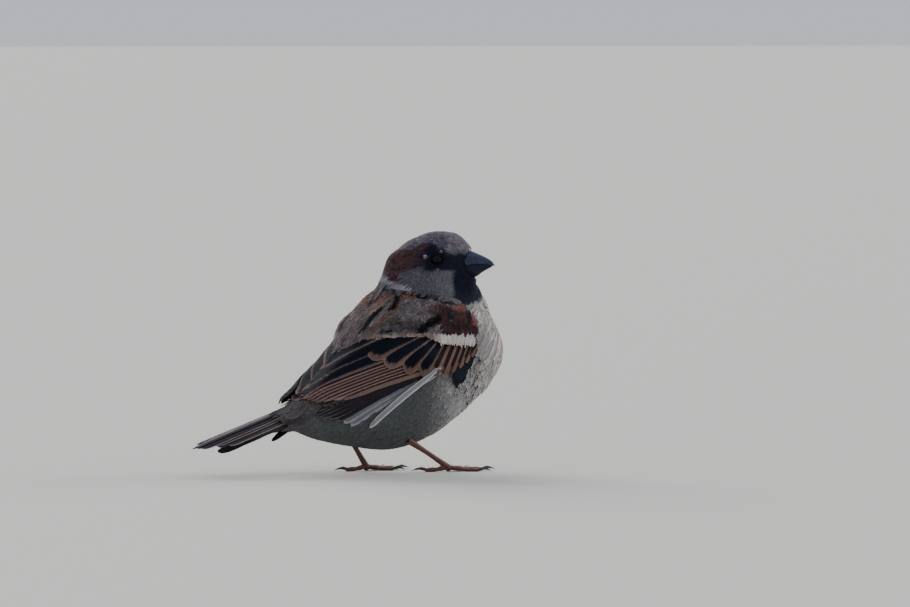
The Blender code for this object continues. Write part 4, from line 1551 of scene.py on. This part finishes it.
@dataclass
class Wing:
    """One folded wing: flight feathers, tertials, three rows of coverts, alula and scapulars."""

    sheet: WingSheet
    primary_tips: tuple = ((-44.5, 14.2), (-46.6, 12.4), (-45.2, 10.2), (-40, 8.6), (-33.5, 7.4))
    primary_roots: tuple = ((8, 22.5), (8, 22), (7, 21.2), (6, 20.6), (5, 20))
    secondary_tips: tuple = ((-48.3, 20.6), (-47.4, 18), (-44.6, 15.6), (-38, 14.4))
    secondary_roots: tuple = ((-8, 24), (-5, 22.4), (-2, 21), (1, 19.8))
    tips_rise: float = 0.0
    primary_width: float = 4.6
    secondary_width: float = 5.2
    alula_width: float = 4.0
    bar_feather: float = 1.25
    lesser_feather: float = 1.3
    shoulder_feather: float = 1.6
    tertial_roots: tuple = ((-12, 34.8), (-11, 30.4), (-10, 26.4))
    tertial_tips: tuple = ((-38.8, 35), (-46.4, 29), (-50, 23.8))
    tertial_widths: tuple = (10, 11, 8.4)
    alula_roots: tuple = ((19, 27), (18.6, 24.6), (15.6, 20.6))
    alula_tips: tuple = ((9, 19.6), (6.5, 17.4), (8.6, 16.7))
    greater_roots: tuple = ((-4, 32.6), (-1, 29.6), (4, 28.6), (9.5, 28.8), (14.5, 29), (18.6, 28.6))
    greater_tips: tuple = (
        (-26.8, 26.6), (-22.2, 21.4), (-15.4, 18.4), (-8.6, 17.2), (-3.4, 17), (1, 17.4), (4.8, 18.2),
        (8.4, 19.8), (11.8, 22), (14.8, 24.6),
    )
    flight: Look = Look("2d2930", "6a605f", 0.3, 0.3, fringe=1.1)
    outer: Look = Look("787981", "a8a8ae", 0.5, 0.2)
    secondary: Look = Look("2e2527", "816861", 0.85, 0.6, fringe=1.5)
    tertial: Look = Look("151824", "6d5752", 0.36, 0.2, fringe=1.7)
    greater: Look = Look("141722", "68534e", 0.5, 0.2, fringe=1.7)
    front: Look = Look("2a2226", "6e524a", 1.05, 0.8, fringe=1.2)
    alula: Look = Look("1c2029", "272a33", 0.2, 0.2, fringe=1)
    bar: str = "cbc3bf"
    behind_bar: str = "7d6d67"
    lesser: str = "452f32"
    lesser_strokes: tuple = (
        Stroke(((6, 39.6), (10, 38.8), (13.4, 39.4)), 1.9, "84574c"),
        Stroke(((9.5, 36.5), (12.5, 36)), 1.2, "5a3c3c"),
        Stroke(((5.8, 36.8), (5.6, 33.6)), 1.3, "2b2c32"),
        Stroke(((14.2, 38.2), (14.6, 35.6)), 0.8, "23252d"),
        Stroke(((16.8, 36.4), (17, 33.6)), 1.1, "80504b"),
        Stroke(((6, 32.2), (17, 32.2)), 0.9, "3c2a2e"),
    )
    shoulder: str = "736b6e"
    shoulder_strokes: tuple = (
        Stroke(((-16, 55), (-23, 50), (-27, 44.5), (-33, 38.5)), 5, "6b5f62"),
        Stroke(((-24, 47), (-29, 43.5), (-34, 38)), 1, "6d6265"),
        Stroke(((-17.5, 34.6), (-8, 33)), 2.2, "453f45", 0.8),
        Stroke(((-16, 38), (-22.5, 36)), 1.4, "554c4c", 0.8),
        Stroke(((-1.5, 38.8), (3.5, 38)), 1.9, "543a3c", 0.8),
        Stroke(((3.4, 35), (3, 32.6)), 1.2, "66403f", 0.8),
        Stroke(((-16.8, 50.2), (-13.8, 50.4)), 1.9, "70504a"),
        Stroke(((-19.5, 49.2), (-16, 48.6)), 0.8, "7a594f"),
        Stroke(((-11.5, 47.4), (-6.4, 45.6)), 1.2, "78534b"),
        Stroke(((-13.2, 43.8), (-18.5, 40.2), (-24.8, 36.6)), 1.1, "70524a", 0.8),
        Stroke(((-17.4, 47), (-21.6, 45)), 0.5, "94796b"),
        Stroke(((-23.4, 47.4), (-24.6, 44.5)), 0.8, "776661"),
        Stroke(((-12.4, 55.4), (-11.9, 51.8)), 1.3, "45434f"),
        Stroke(((-12.2, 51), (-9, 47.9), (-4.8, 44.8), (2, 41.2), (7, 40)), 0.4, "25242e"),
        Stroke(((-20, 51.2), (-24.5, 48.9), (-28.5, 46.2), (-32, 41.5)), 0.4, "1f1d26"),
        Stroke(((-15.4, 53.6), (-18.4, 51.6)), 0.6, "17171f"),
        Stroke(((-12, 48.4), (-13, 46), (-15.8, 43)), 0.8, "0d0f17"),
        Stroke(((-10.4, 48.4), (-11, 46.8)), 0.4, "14151d"),
        Stroke(((-14.4, 48), (-15.4, 46.4)), 0.3, "14151d"),
        Stroke(((-18.2, 45.2), (-21.5, 43.1), (-24, 40.7), (-25.8, 38.8)), 0.8, "14151d"),
        Stroke(((-6, 45), (-4, 43.8)), 0.8, "14141d"),
        Stroke(((1.2, 35.8), (-4.5, 33.5), (-8.2, 31.4)), 1.3, "0d0f17"),
        Stroke(((-22.6, 34), (-19.4, 33.2)), 0.5, "26232d"),
        Stroke(
            ((-26.8, 35.4), (-24, 32.9), (-19.5, 31.4), (-14, 30.7), (-8, 30.4), (-3, 30)),
            0.2,
            "a58c80",
        ),
    )

    def build(self) -> None:
        """Lays the wing's feathers in the order in which they overlap."""
        if self.sheet.side > 0:
            self.primary_tips = ((-47.5, 20.2), (-51.6, 19.6), (-53.4, 18.4), (-50, 15.8), (-39.5, 11))
            self.tips_rise = 1.8
            self.flight = Look("2c2932", "4c474d", 0.3, 0.3, fringe=1)
            self.secondary_tips = ((-42, 20), (-42.4, 18), (-41, 16), (-37, 14.6))
            self.tertial_tips = ((-40, 36), (-45.5, 30.2), (-48.5, 24.6))
        hand, base = self.sheet.hand, SEED * (3 + self.sheet.side)
        self.lay_primaries(hand, base)
        self.lay_inner_flight(hand, base + 100)
        self.lay_greater_coverts(hand, base + 200)
        self.lay_small_coverts(hand, base + 300)
        self.lay_shoulder(hand, base + 400)

    def lay_primaries(self, hand: str, seed: int) -> None:
        """The long outer flight feathers, the outermost lowest, with narrow pale edges."""
        blades = Blades(self.sheet, 20)
        rows = fan(9, self.primary_roots, self.primary_tips)
        for i, (root, tip) in enumerate(rows):
            low = -0.75 - 0.07 * i
            look = self.outer if i >= 7 and hand == "right" else self.flight
            levels = (low - 0.6, low + self.tips_rise)
            blades.lay(root, tip, self.primary_width, look, levels, seed + i, blunt=0.8, leading=0.55)
        blades.write(f"primary_feathers_{hand}", f"primaries_{hand}", "dark_feather")

    def lay_inner_flight(self, hand: str, seed: int) -> None:
        """The brown secondaries, and the three dark tertials with warm edges over them."""
        blades = Blades(self.sheet, 20)
        for i, (root, tip) in enumerate(fan(7, self.secondary_roots, self.secondary_tips)):
            low = -0.1 - 0.08 * i
            width, levels = self.secondary_width, (low - 0.6, low)
            blades.lay(root, tip, width, self.secondary, levels, seed + i, leading=0.55, blunt=0.8)
        for i in (2, 1, 0):
            root, tip, width = self.tertial_roots[i], self.tertial_tips[i], self.tertial_widths[i]
            high, own = 0.34 - 0.13 * i, seed + 20 + i
            blades.lay(root, tip, width, self.tertial, (high - 0.5, high), own, blunt=0.86, bend=0.02)
        blades.write(f"inner_flight_feathers_{hand}", f"inner_flight_{hand}", "streaked_feather")

    def lay_greater_coverts(self, hand: str, seed: int) -> None:
        """Alula and primary coverts, then the greater coverts, each inner one over the next."""
        blades = Blades(self.sheet, 14)
        for i, (root, tip) in enumerate(fan(4, self.alula_roots, self.alula_tips)):
            low, width = -0.35 - 0.1 * i, self.alula_width
            blades.lay(root, tip, width, self.alula, (low - 0.3, low), seed + i, bend=-0.12)
        for i, (root, tip) in reversed(list(enumerate(fan(10, self.greater_roots, self.greater_tips)))):
            high = 0.12 - 0.04 * i
            look = self.greater if i < 4 else self.front
            width = 3.9 + 5.2 * (1 - i / 9) ** 1.6
            blades.lay(root, tip, width, look, (high - 0.5, high), seed + 20 + i, blunt=0.74)
        blades.write(f"greater_covert_feathers_{hand}", f"coverts_{hand}", "chestnut_feather")

    def lay_small_coverts(self, hand: str, seed: int) -> None:
        """The chestnut lesser coverts, and the white-tipped median coverts that make the wing bar."""
        rng = np.random.default_rng(seed)
        writer = MeshWriter()
        count = 70
        x = np.linspace(-6, 16.6, count) + 0.15 * rng.normal(size=count)
        fade = smooth(2, -3.5, x)
        tips = np.stack([x, 27.0 + 0.5 * rng.normal(size=count) + 2.2 * fade], axis=1)
        roots = tips + np.stack([0.6 + 0.5 * rng.normal(size=count), 4.8 - 1.4 * fade], axis=1)
        pale = srgb(self.bar) * (0.72 + 0.36 * rng.random((count, 1)))
        pale = pale * (1 - fade[:, None]) + srgb(self.behind_bar) * fade[:, None]
        colours = (pale, pale, (0.15, 0))
        lay_loose(writer, self.sheet, roots, tips, self.bar_feather, (-0.3, 0.36), colours, seed)
        tips = scattered((1.5, 28.8), (18.2, 43.5), 0.8, rng)
        edge = on_line(self.sheet.top_edge, tips[:, 0])
        tips = tips[(tips[:, 1] < edge - 2.6) & (tips[:, 1] > 30.2 + 0.4 * rng.normal(size=len(tips)))]
        roots = tips + np.stack([0.8 + 0.4 * rng.normal(size=len(tips)), np.full(len(tips), 3.4)], axis=1)
        core = painted(tips, np.tile(srgb(self.lesser), (len(tips), 1)), self.lesser_strokes)
        core = core * (0.7 + 0.6 * rng.random((len(tips), 1)))
        colours = (core, core * 0.9, (0.3, 0.2))
        lay_loose(writer, self.sheet, roots, tips, self.lesser_feather, (-0.2, 0.5), colours, seed + 1)
        writer.write(f"small_covert_feathers_{hand}", feather_finish(), "chestnut_feather")

    def lay_shoulder(self, hand: str, seed: int) -> None:
        """The scapulars and the back's own feathers, which hide the wing's upper edge."""
        rng = np.random.default_rng(seed)
        tips = scattered((-37, 29), (9, 60), 0.85, rng)
        x, q = tips.T
        low, high = (on_line(edge, x) for edge in (self.sheet.shoulder_edge, self.sheet.top_edge))
        tips = tips[(q > low) & (q < high + 0.3)]
        x, q = tips.T
        turn = np.radians(np.interp(q - 0.25 * x, [33, 38, 44, 50], [8, 24, 36, 38]))
        turn = turn + 0.1 * rng.normal(size=len(x))
        way = np.stack([np.cos(turn), np.sin(turn)], axis=1)
        length = 5.6 + 1.2 * rng.random((len(x), 1))
        base = np.tile(srgb(self.shoulder), (len(x), 1))
        core = painted(tips, base, self.shoulder_strokes) * (0.78 + 0.44 * rng.random((len(x), 1)))
        writer = MeshWriter()
        colours = (core, core * 1.35, (0.35, 0.42))
        roots, width = tips + way * length, self.shoulder_feather
        lay_loose(writer, self.sheet, roots, tips, width, (-0.9, 0.4), colours, seed)
        writer.write(f"scapular_feathers_{hand}", feather_finish(), "streaked_feather", f"scapulars_{hand}")


@dataclass(frozen=True)
class Plane:
    """A flat frame that loose feathers are laid on: where it starts, and its three directions."""

    origin: Triple
    along: Triple
    across: Triple

    @property
    def out(self) -> Array:
        """Its outward direction, which is upward."""
        out = np.cross(self.across, self.along)
        return out * np.sign(out[2])

    def place(self, spots: Array, height: Array) -> Array:
        """Points at distances along and across, height above it."""
        flat = spots[..., :1] * np.array(self.along) + spots[..., 1:] * np.array(self.across)
        return flat + np.array(self.origin) + height[..., None] * self.out

    def normal(self, spots: Array) -> Array:
        """Its outward direction at each spot."""
        return np.tile(self.out, (len(spots), 1))


@dataclass
class Tail:
    """Twelve tail feathers in two halves that meet as a low roof, their coverts, and the odd feather."""

    root: Triple = (-36, 0, 30.5)
    slope: float = math.radians(19.5)
    rolled: float = math.radians(14)
    roof: float = math.radians(11.5)
    left_longer: float = 1.6
    reaches: tuple[float, ...] = (59, 57.4, 52.6, 52, 48, 53.6)
    widths: tuple[float, ...] = (3, 3, 3, 3, 3.4, 4.6)
    inner: Look = Look("2a262d", "48434b", 0.4, 0.4, inner=1, fringe=1)
    brown: Look = Look("3a3338", "817475", 0.45, 0.6, inner=0.7, fringe=1.4)
    slate: Look = Look("282932", "5a5963", 0.4, 0.4)
    pale: Look = Look("453e40", "8f8685", 0.3, 0.4, inner=1, fringe=1.5)
    outer: Look = Look("332d2f", "463f41", 0.3, 0.2, tip="121319", dark_from=0.5, fringe=1)
    dark: Look = Look("15161b", "23222a", 0.15, 0.2)
    covert: str = "655d5f"
    lanes: tuple[str, ...] = (
        "4b4a55", "3a3739", "6d5c57", "4a4243", "6a5b57", "42404a", "6e686b", "2c2a30", "2c2a30",
    )

    def build(self) -> None:
        """Lays both halves and the odd feather."""
        along = (-math.cos(self.slope), 0, -math.sin(self.slope))
        level_up = np.array([-math.sin(self.slope), 0, math.cos(self.slope)])
        looks = (self.inner, self.brown, self.brown, self.slate, self.pale, self.outer)
        coverts = MeshWriter()
        for side, hand in ((1, "left"), (-1, "right")):
            tilt = side * self.rolled - self.roof
            across = np.array([0, side, 0]) * math.cos(tilt) + level_up * math.sin(tilt)
            plane = Plane(self.root, along, tuple(across))
            blades = Blades(plane, 18)
            longer = self.left_longer if side > 0 else 0.0
            for i, (reach, look) in enumerate(zip(self.reaches, looks)):
                root, tip = (12, 0.8 + 1.0 * i), (reach + longer, 0.5 + 1.2 * i)
                width, high, seed = self.widths[i], 0.45 - 0.17 * i, SEED + 700 + 10 * i + side
                levels = (high - 0.2, high)
                blades.lay(root, tip, width, look, levels, seed, blunt=0.88, roll=0, leading=1)
            blades.write(f"tail_feathers_{hand}", f"tail_{hand}", "tail_feather")
            self.lay_coverts(coverts, plane, side < 0, SEED + 760 + side)
        coverts.write("upper_tail_covert_feathers", feather_finish(), "rump_feather")
        self.build_odd()

    def lay_coverts(self, writer: MeshWriter, plane: Plane, right: bool, seed: int) -> None:
        """The soft feathers that hide the roots of one half of the tail."""
        rng = np.random.default_rng(seed)
        tips = scattered((2, -0.8), (32, 9.4), 0.9, rng)
        reach = 23.0 if right else 14.0
        tips = tips[tips[:, 0] < reach - 0.4 * tips[:, 1] + 7 * rng.random(len(tips)) ** 2]
        roots = tips - [10, 0.3] * (1 + 0.1 * rng.normal(size=tips.shape))
        lanes = np.array([srgb(lane) for lane in self.lanes])
        lane = np.clip(np.round(tips[:, 1] + 0.2 * rng.normal(size=len(tips))), 0, 8).astype(int)
        far = 0.7 * smooth(13, 23, tips[:, 0])[:, None]
        core = srgb(self.covert) * (1 - far) + lanes[lane] * far
        core = core * (0.85 + 0.3 * rng.random((len(tips), 1)))
        lay_loose(writer, plane, roots, tips, 1.7, (0.5, 0.75), (core, core * 1.15, (0.3, 0.3)), seed)

    def build_odd(self) -> None:
        """The dark feather that hangs below the tail's base."""
        slope = math.radians(35)
        plane = Plane((-51, -3, 20.2), (-math.cos(slope), 0, -math.sin(slope)), (0, -0.8, -0.6))
        blades, root, tip = Blades(plane, 10), (-4, 0), (12.4, 0)
        blades.lay(root, tip, 3.2, self.dark, (0, 0.1), SEED + 800, blunt=0.5, leading=1)
        blades.write("undertail_loose_feather", "undertail_feather", "dark_feather")


@dataclass
class StrayPrimary:
    """The one pale flight feather that has slipped out below the right wing."""

    root: Pair = (0, 19)
    tip: Pair = (-26, 5.8)
    look: Look = Look("8b8b90", "c9c8c8", 0.5, 0)

    def build(self, sheet: WingSheet) -> None:
        """Lays it over the flank."""
        blades = Blades(sheet, 16)
        blades.lay(self.root, self.tip, 2.1, self.look, (0, 0.55), SEED + 900, blunt=0.85, roll=0.1)
        blades.write("slipped_flight_feather", "stray_primary_right", "white_feather")


# ---- head


@dataclass
class Bill:
    """The two mandibles: a stout seed-eater's cone, with its gape turned down at the corner."""

    upper: tuple = (
        (9.4, 4, -3.1, 4.7), (11, 4.6, -2.2, 4.85), (12.8, 4.95, -1.15, 4.75),
        (14.6, 4.8, -0.5, 4.25), (17.3, 3.75, -0.1, 3.5), (19.9, 2.65, -0.1, 2.6),
        (22.2, 1.45, -0.35, 1.5), (23.6, 0.35, -0.75, 0.75), (24.2, -0.6, -1.05, 0.28),
    )
    lower: tuple = (
        (9.4, -2.6, -4.6, 4.4), (11, -1.75, -4.9, 4.5), (12.8, -1.2, -5.3, 4.35),
        (14.6, -0.7, -5.3, 3.7), (17, -0.4, -5.05, 3.1), (19.2, -0.3, -3.55, 2.35),
        (21.2, -0.15, -2.35, 1.65), (22.6, -0.45, -1.6, 0.95), (23.3, -0.75, -1.2, 0.4),
    )
    nostril: Triple = (13.9, 2.6, 2.2)
    rings: int = 48
    sides: int = 40

    def build(self) -> None:
        """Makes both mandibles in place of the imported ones."""
        horn = HornSheath("bill_keratin", "161f3b", "33416a", gloss=0.4).make()
        # painted shade: the lower mandible's horn is a darker copy of the upper's, which also marks the
        # gape
        shaded_horn = HornSheath("shaded_lower_bill_keratin", "0e1428", "1e2845", roughness=0.55, gloss=0.22).make()
        mandibles = (("bill_upper", self.upper, 1, horn), ("bill_lower", self.lower, -1, shaded_horn))
        for name, rows, hand, sheath in mandibles:
            writer = MeshWriter()
            faces = all_quads(ring_faces(self.rings, self.sides))
            writer.add(FIGURE.from_head(self.shell(np.array(rows), hand)), {4: faces})
            writer.write(f"{name}_sheath", sheath, "bill_horn", name)

    def shell(self, rows: Array, hand: int) -> Array:
        """Points of one mandible in the head's frame.

        Args:
            rows: Distance, top, bottom and half width of each section.
            hand: 1 for the upper mandible, -1 for the lower.
        """
        t = np.linspace(0, 1, self.rings)
        s, top, low, half = spline(rows, t**0.8).T
        rings = []
        for i in range(self.rings):
            turn = np.linspace(0, 2 * math.pi, self.sides, endpoint=False) + math.pi / self.sides
            side, rise = np.cos(turn), np.sin(turn)
            outer = rise * hand > 0
            shape = np.abs(rise) ** np.where(outer, 0.92, 1)
            tall = top[i] - low[i]
            edge = low[i] if hand > 0 else top[i]
            z = edge + np.where(outer, hand * shape * tall, -hand * shape * tall * 0.08)
            y = side * half[i] * (1 - 0.16 * np.where(outer, shape, 0) ** 2 * (0.4 + 0.6 * t[i]))
            ring = np.stack([np.full(self.sides, s[i]), y, z], axis=1)
            if hand > 0:
                pit = np.linalg.norm((ring - self.nostril) * [1, 0, 1] / [0.85, 1, 0.5], axis=1)
                ring[:, 1] -= np.sign(y) * 0.5 * smooth(1, 0.35, pit) * outer
                ridge = smooth(0.5, 1, shape) * outer * smooth(0, 0.2, t[i])
                ring[:, 2] += 0.10 * ridge**6
            rings.append(ring)
        return np.concatenate(rings)


@dataclass
class Eyes:
    """Dark wet eyes, each in a ring of bare lids."""

    radius: float = 2.5
    opening: float = 1.72
    look_out: Triple = (0.30, 1, 0.08)

    def build(self) -> None:
        """Makes each eyeball in place of its node, and its lids."""
        wet, lid = WetEye().make(), HornSheath("bare_lid_skin", "06070b", "0b0c13", 0.3, 0.85, 0.1).make()
        for side, hand in ((1, "left"), (-1, "right")):
            centre = FIGURE.from_head([np.array(FIGURE.eye) * [1, side, 1]])[0]
            gaze = unit(np.array(self.look_out) * [1, side, 1] @ FIGURE.head_axes)
            wide = unit(np.cross(gaze, [0, 0, 1]))
            axes = np.stack([gaze, wide, np.cross(wide, gaze)])
            self.build_ball(hand, centre, axes, wet)
            self.build_lids(hand, centre, axes, lid)

    def build_ball(self, hand: str, centre: Array, axes: Array, wet: bpy.types.Material) -> None:
        """One eyeball, its cornea bulging a little."""
        points, faces = egg((0, 0, 0), (1, 1, 1), np.eye(3), 28, 36)
        out = np.arccos(np.clip(points[:, 0], -1, 1))
        bulge = self.radius * (1 + 0.05 * smooth(0.85, 0.3, out))
        writer = MeshWriter()
        gaze = np.stack([out / 0.95, points[:, 2]], axis=1)
        writer.add(points * bulge[:, None] @ axes + centre, {4: all_quads(faces)}, Gaze_uv=gaze)
        writer.write(f"eyeball_{hand}", wet, "dark_eye", f"eye_{hand}")

    def build_lids(self, hand: str, centre: Array, axes: Array, lid: bpy.types.Material) -> None:
        """The ring of bare lid round one eye, almond shaped, beaded at its edge."""
        sides, across = 64, 9
        turn = np.linspace(0, 2 * math.pi, sides, endpoint=False)
        wide = self.opening * (1 + 0.10 * np.abs(np.cos(turn)) ** 2)
        tall = self.opening * (0.80 - 0.05 * np.sin(turn))
        rows = []
        for j in range(across):
            v = j / (across - 1)
            swell = 0.10 * math.sin(math.pi * min(v * 1.25, 1)) + 0.012 * np.sin(turn * 22)
            reach = 0.95 * v
            y, z = np.cos(turn) * (wide + reach), np.sin(turn) * (tall + reach)
            out = np.sqrt(np.maximum(self.radius**2 * 1.10 - (y * 0.96) ** 2 - (z * 0.96) ** 2, 0.05))
            rows.append(np.stack([out + swell - 0.7 * v * v, y, z], axis=1) @ axes + centre)
        writer = MeshWriter()
        writer.add(np.concatenate(rows), {4: np.array(ring_faces(across, sides)[:-2])})
        writer.write(f"eyelids_{hand}", lid, "dark_eye")


# ---- legs


@dataclass
class Legs:
    """Bare shanks and feet with scutes, and curved claws."""

    ankles: dict = field(default_factory=lambda: {"right": (-6.3, -10, 12.4), "left": (-24, 9.5, 17.5)})
    feet: dict = field(default_factory=lambda: {"right": (11.4, -10, 1.6), "left": (-12.7, 10.5, 1.6)})
    headings: dict = field(default_factory=lambda: {"right": -8, "left": 6.0})
    toes: dict = field(
        default_factory=lambda: {
            "inner": (32, 10, 0.8, 4.2),
            "middle": (2, 14, 0.9, 4.8),
            "outer": (-27, 11.5, 0.8, 4.2),
            "hind": (180, 9, 0.95, 5.2),
        }
    )
    shank: tuple[float, ...] = (1.35, 0.95, 1.25)
    toe_pads: tuple[float, ...] = (1.25, 0.92, 1.06, 0.82, 1.02, 0.72)
    claw: tuple[float, ...] = (0.62, 0.6, 0.46, 0.26, 0.07)
    scute: float = 1.1
    foot_radius: float = 1.45
    sole_depth: float = 0.14

    def build(self) -> None:
        """Makes both legs and all claws."""
        scaled = ScaledSkin().make()
        horn = HornSheath("claw_keratin", "2b2322", "5d4c46", 0.4, 0.3).make()
        for hand in self.ankles:
            self.build_leg(hand, scaled)
            for toe in self.toes:
                self.build_claw(hand, toe, horn)

    def toe_way(self, hand: str, toe: str) -> Array:
        """The level direction in which a toe points."""
        spread = self.toes[toe][0]
        angle = math.radians(self.headings[hand] + (spread if hand == "right" else -spread))
        return np.array([math.cos(angle), math.sin(angle), 0])

    def toe_line(self, hand: str, toe: str) -> Array:
        """A toe's centre line, from the foot's middle out."""
        _, length, radius, _ = self.toes[toe]
        foot, reach = np.array(self.feet[hand]), self.toe_way(hand, toe)
        heights = (foot[2], radius + 0.35, radius - self.sole_depth, radius * 0.9 - self.sole_depth)
        steps = (0, 0.25, 0.6, 1)
        return np.array([foot * [1, 1, 0] + reach * length * d + [0, 0, h] for d, h in zip(steps, heights)])

    def build_leg(self, hand: str, scaled: bpy.types.Material) -> None:
        """One shank with its foot, as one skin with scutes raised along every toe."""
        ankle, foot = np.array(self.ankles[hand]), np.array(self.feet[hand])
        lines = [np.array([ankle, (ankle + foot) / 2 + [0, 0, 0.15], foot])]
        middle, halves = tuple(foot - [0, 0, 0.2]), (self.foot_radius,) * 3
        parts = [tube(lines[0], np.array(self.shank)), egg(middle, halves, np.eye(3))]
        for toe, (_, _, radius, _) in self.toes.items():
            line = self.toe_line(hand, toe)
            lines.append(line)
            parts.append(tube(line, radius * np.array(self.toe_pads)))
            parts.append(egg(tuple(line[-1]), (radius * 0.78,) * 3, np.eye(3)))
        raw = remeshed(parts, 0.17, 3)
        around, along = self.follow(raw, lines)
        ridge = smooth(0, 0.3, 0.5 - np.abs((along / self.scute) % 1 - 0.5)) * smooth(0.2, 0.7, around)
        points = raw.points + raw.normals * (0.09 * ridge - 0.03)[:, None]
        points[:, 2] = np.maximum(points[:, 2], 0)
        writer = MeshWriter()
        scute = np.stack([around * 0.5 + 0.5, along / self.scute * 2 * ScaledSkin.half_scute], axis=1)
        writer.add(points, {4: raw.faces}, Scute_uv=scute)
        writer.write(f"leg_{hand}", scaled, "leg_scale", f"shank_{hand}", f"foot_{hand}")

    @staticmethod
    def follow(raw: Surface, lines: list[Array]) -> tuple[Array, Array]:
        """How far each point faces the upper side of its toe, and how far along it lies."""
        samples, walked = [], []
        for line in lines:
            fine = spline(line, np.linspace(0, 1, 80))
            steps = np.linalg.norm(np.diff(fine, axis=0), axis=1)
            samples.append(fine)
            walked.append(np.concatenate([[0], np.cumsum(steps)]))
        nodes, distance = np.concatenate(samples), np.concatenate(walked)
        nearest = np.array([np.linalg.norm(nodes - p, axis=1).argmin() for p in raw.points])
        front = unit(np.array([0.55, 0, 0.83]))
        return raw.normals @ front, distance[nearest]

    def build_claw(self, hand: str, toe: str, horn: bpy.types.Material) -> None:
        """One curved claw, flattened at its sides, in place of its node."""
        _, _, radius, length = self.toes[toe]
        ahead = self.toe_way(hand, toe)
        start = self.toe_line(hand, toe)[-1] + ahead * radius * 0.3 + [0, 0, 0.15]
        steps = ((0, 0.1), (0.35, 0.5), (0.7, 0.25), (1, -0.28))
        line = np.array([start + ahead * (length + radius * 0.5) * d + [0, 0, rise] for d, rise in steps])
        points, faces = tube(line, np.array(self.claw), 22, 14)
        points[:, 2] = np.maximum(points[:, 2], 0.02)
        writer = MeshWriter()
        writer.add(points, {4: all_quads(faces)})
        writer.write(f"claw_sheath_{toe}_{hand}", horn, "claw_horn", f"claw_{toe}_{hand}")


# ---- studio


@dataclass
class Studio:
    """A pale floor, soft light from behind the bird and from before its face, and the camera."""

    yaw: float = math.radians(30)
    elevation: float = math.radians(2)
    distance: float = 3.0
    view_width: float = 345.8  # what shows from side to side, at the bird
    right_of_bird: float = 17.48  # the view's middle, from the trunk's origin
    above_floor: float = 63.65
    sun_spread: float = math.radians(40)
    suns: tuple = (
        ("back_light", (0.12, 0.91, 0.5), 3, (1, 0.98, 0.95)),
        ("side_light", (0.95, 0.05, 0.45), 2, (1, 0.98, 0.96)),
    )
    sky: tuple[float, ...] = (0.88, 0.93, 1, 1)

    def build(self) -> None:
        """Builds floor, light and camera."""
        self.build_floor()
        self.build_lights()
        self.build_camera()

    def build_floor(self) -> None:
        """A wide sheet of matt paper."""
        mesh = bpy.data.meshes.new("studio_floor")
        reach = 60.0
        corners = [(-reach, -reach, 0), (reach, -reach, 0), (reach, reach, 0), (-reach, reach, 0)]
        mesh.from_pydata(corners, [], [(0, 1, 2, 3)])
        mesh.materials.append(StudioPaper().make())
        floor = new_object("studio_floor", mesh)
        floor.location.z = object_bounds()[0][2]
        floor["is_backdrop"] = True

    def build_lights(self) -> None:
        """A very broad light behind the bird, another before its face, and an even sky."""
        for name, way, power, colour in self.suns:
            light = bpy.data.lights.new(name, "SUN")
            light.angle, light.energy, light.color = self.sun_spread, power, colour
            lamp = new_object(name, light)
            lamp.rotation_euler = Vector(way).to_track_quat("Z", "Y").to_euler()
            lamp.location = Vector(way)
        world = bpy.data.worlds.new("studio_sky")
        world.use_nodes = True
        sky = world.node_tree.nodes["Background"]
        sky.inputs["Color"].default_value = self.sky
        sky.inputs["Strength"].default_value = 0.7
        bpy.context.scene.world = world

    def build_camera(self) -> None:
        """The camera, a long lens almost at the bird's own level."""
        rise, turn = math.sin(self.elevation), math.cos(self.elevation)
        back = Vector((-math.sin(self.yaw) * turn, -math.cos(self.yaw) * turn, rise))
        right = Vector((math.cos(self.yaw), -math.sin(self.yaw), 0))
        up = back.cross(right)
        centre = (Vector(SHIFT) + right * self.right_of_bird + up * self.above_floor) * MM
        lens = bpy.data.cameras.new("camera")
        lens.sensor_width = 36.0
        lens.lens = self.distance / (self.view_width * MM) * lens.sensor_width
        camera = new_object("camera", lens)
        camera.location = centre + back * self.distance
        camera.rotation_euler = (-back).to_track_quat("-Z", "Y").to_euler()
        bpy.context.scene.camera = camera


def main() -> None:
    """Builds every sub-assembly in order."""
    logging.basicConfig(level=logging.INFO, format="%(message)s")
    Studio().build()
    markings = Markings()
    skin = Skin()
    skin.build(markings)
    wings = [WingSheet(side) for side in (1, -1)]
    Coat().build(skin, markings, wings)
    for sheet in wings:
        Wing(sheet).build()
    StrayPrimary().build(wings[1])
    Tail().build()
    Bill().build()
    Eyes().build()
    Legs().build()
    sizes = {"cad_box": CAD_BOX, "visual_box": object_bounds()}
    {name: [list(map(float, corner)) for corner in box] for name, box in sizes.items()}


if __name__ == "__main__":
    main()
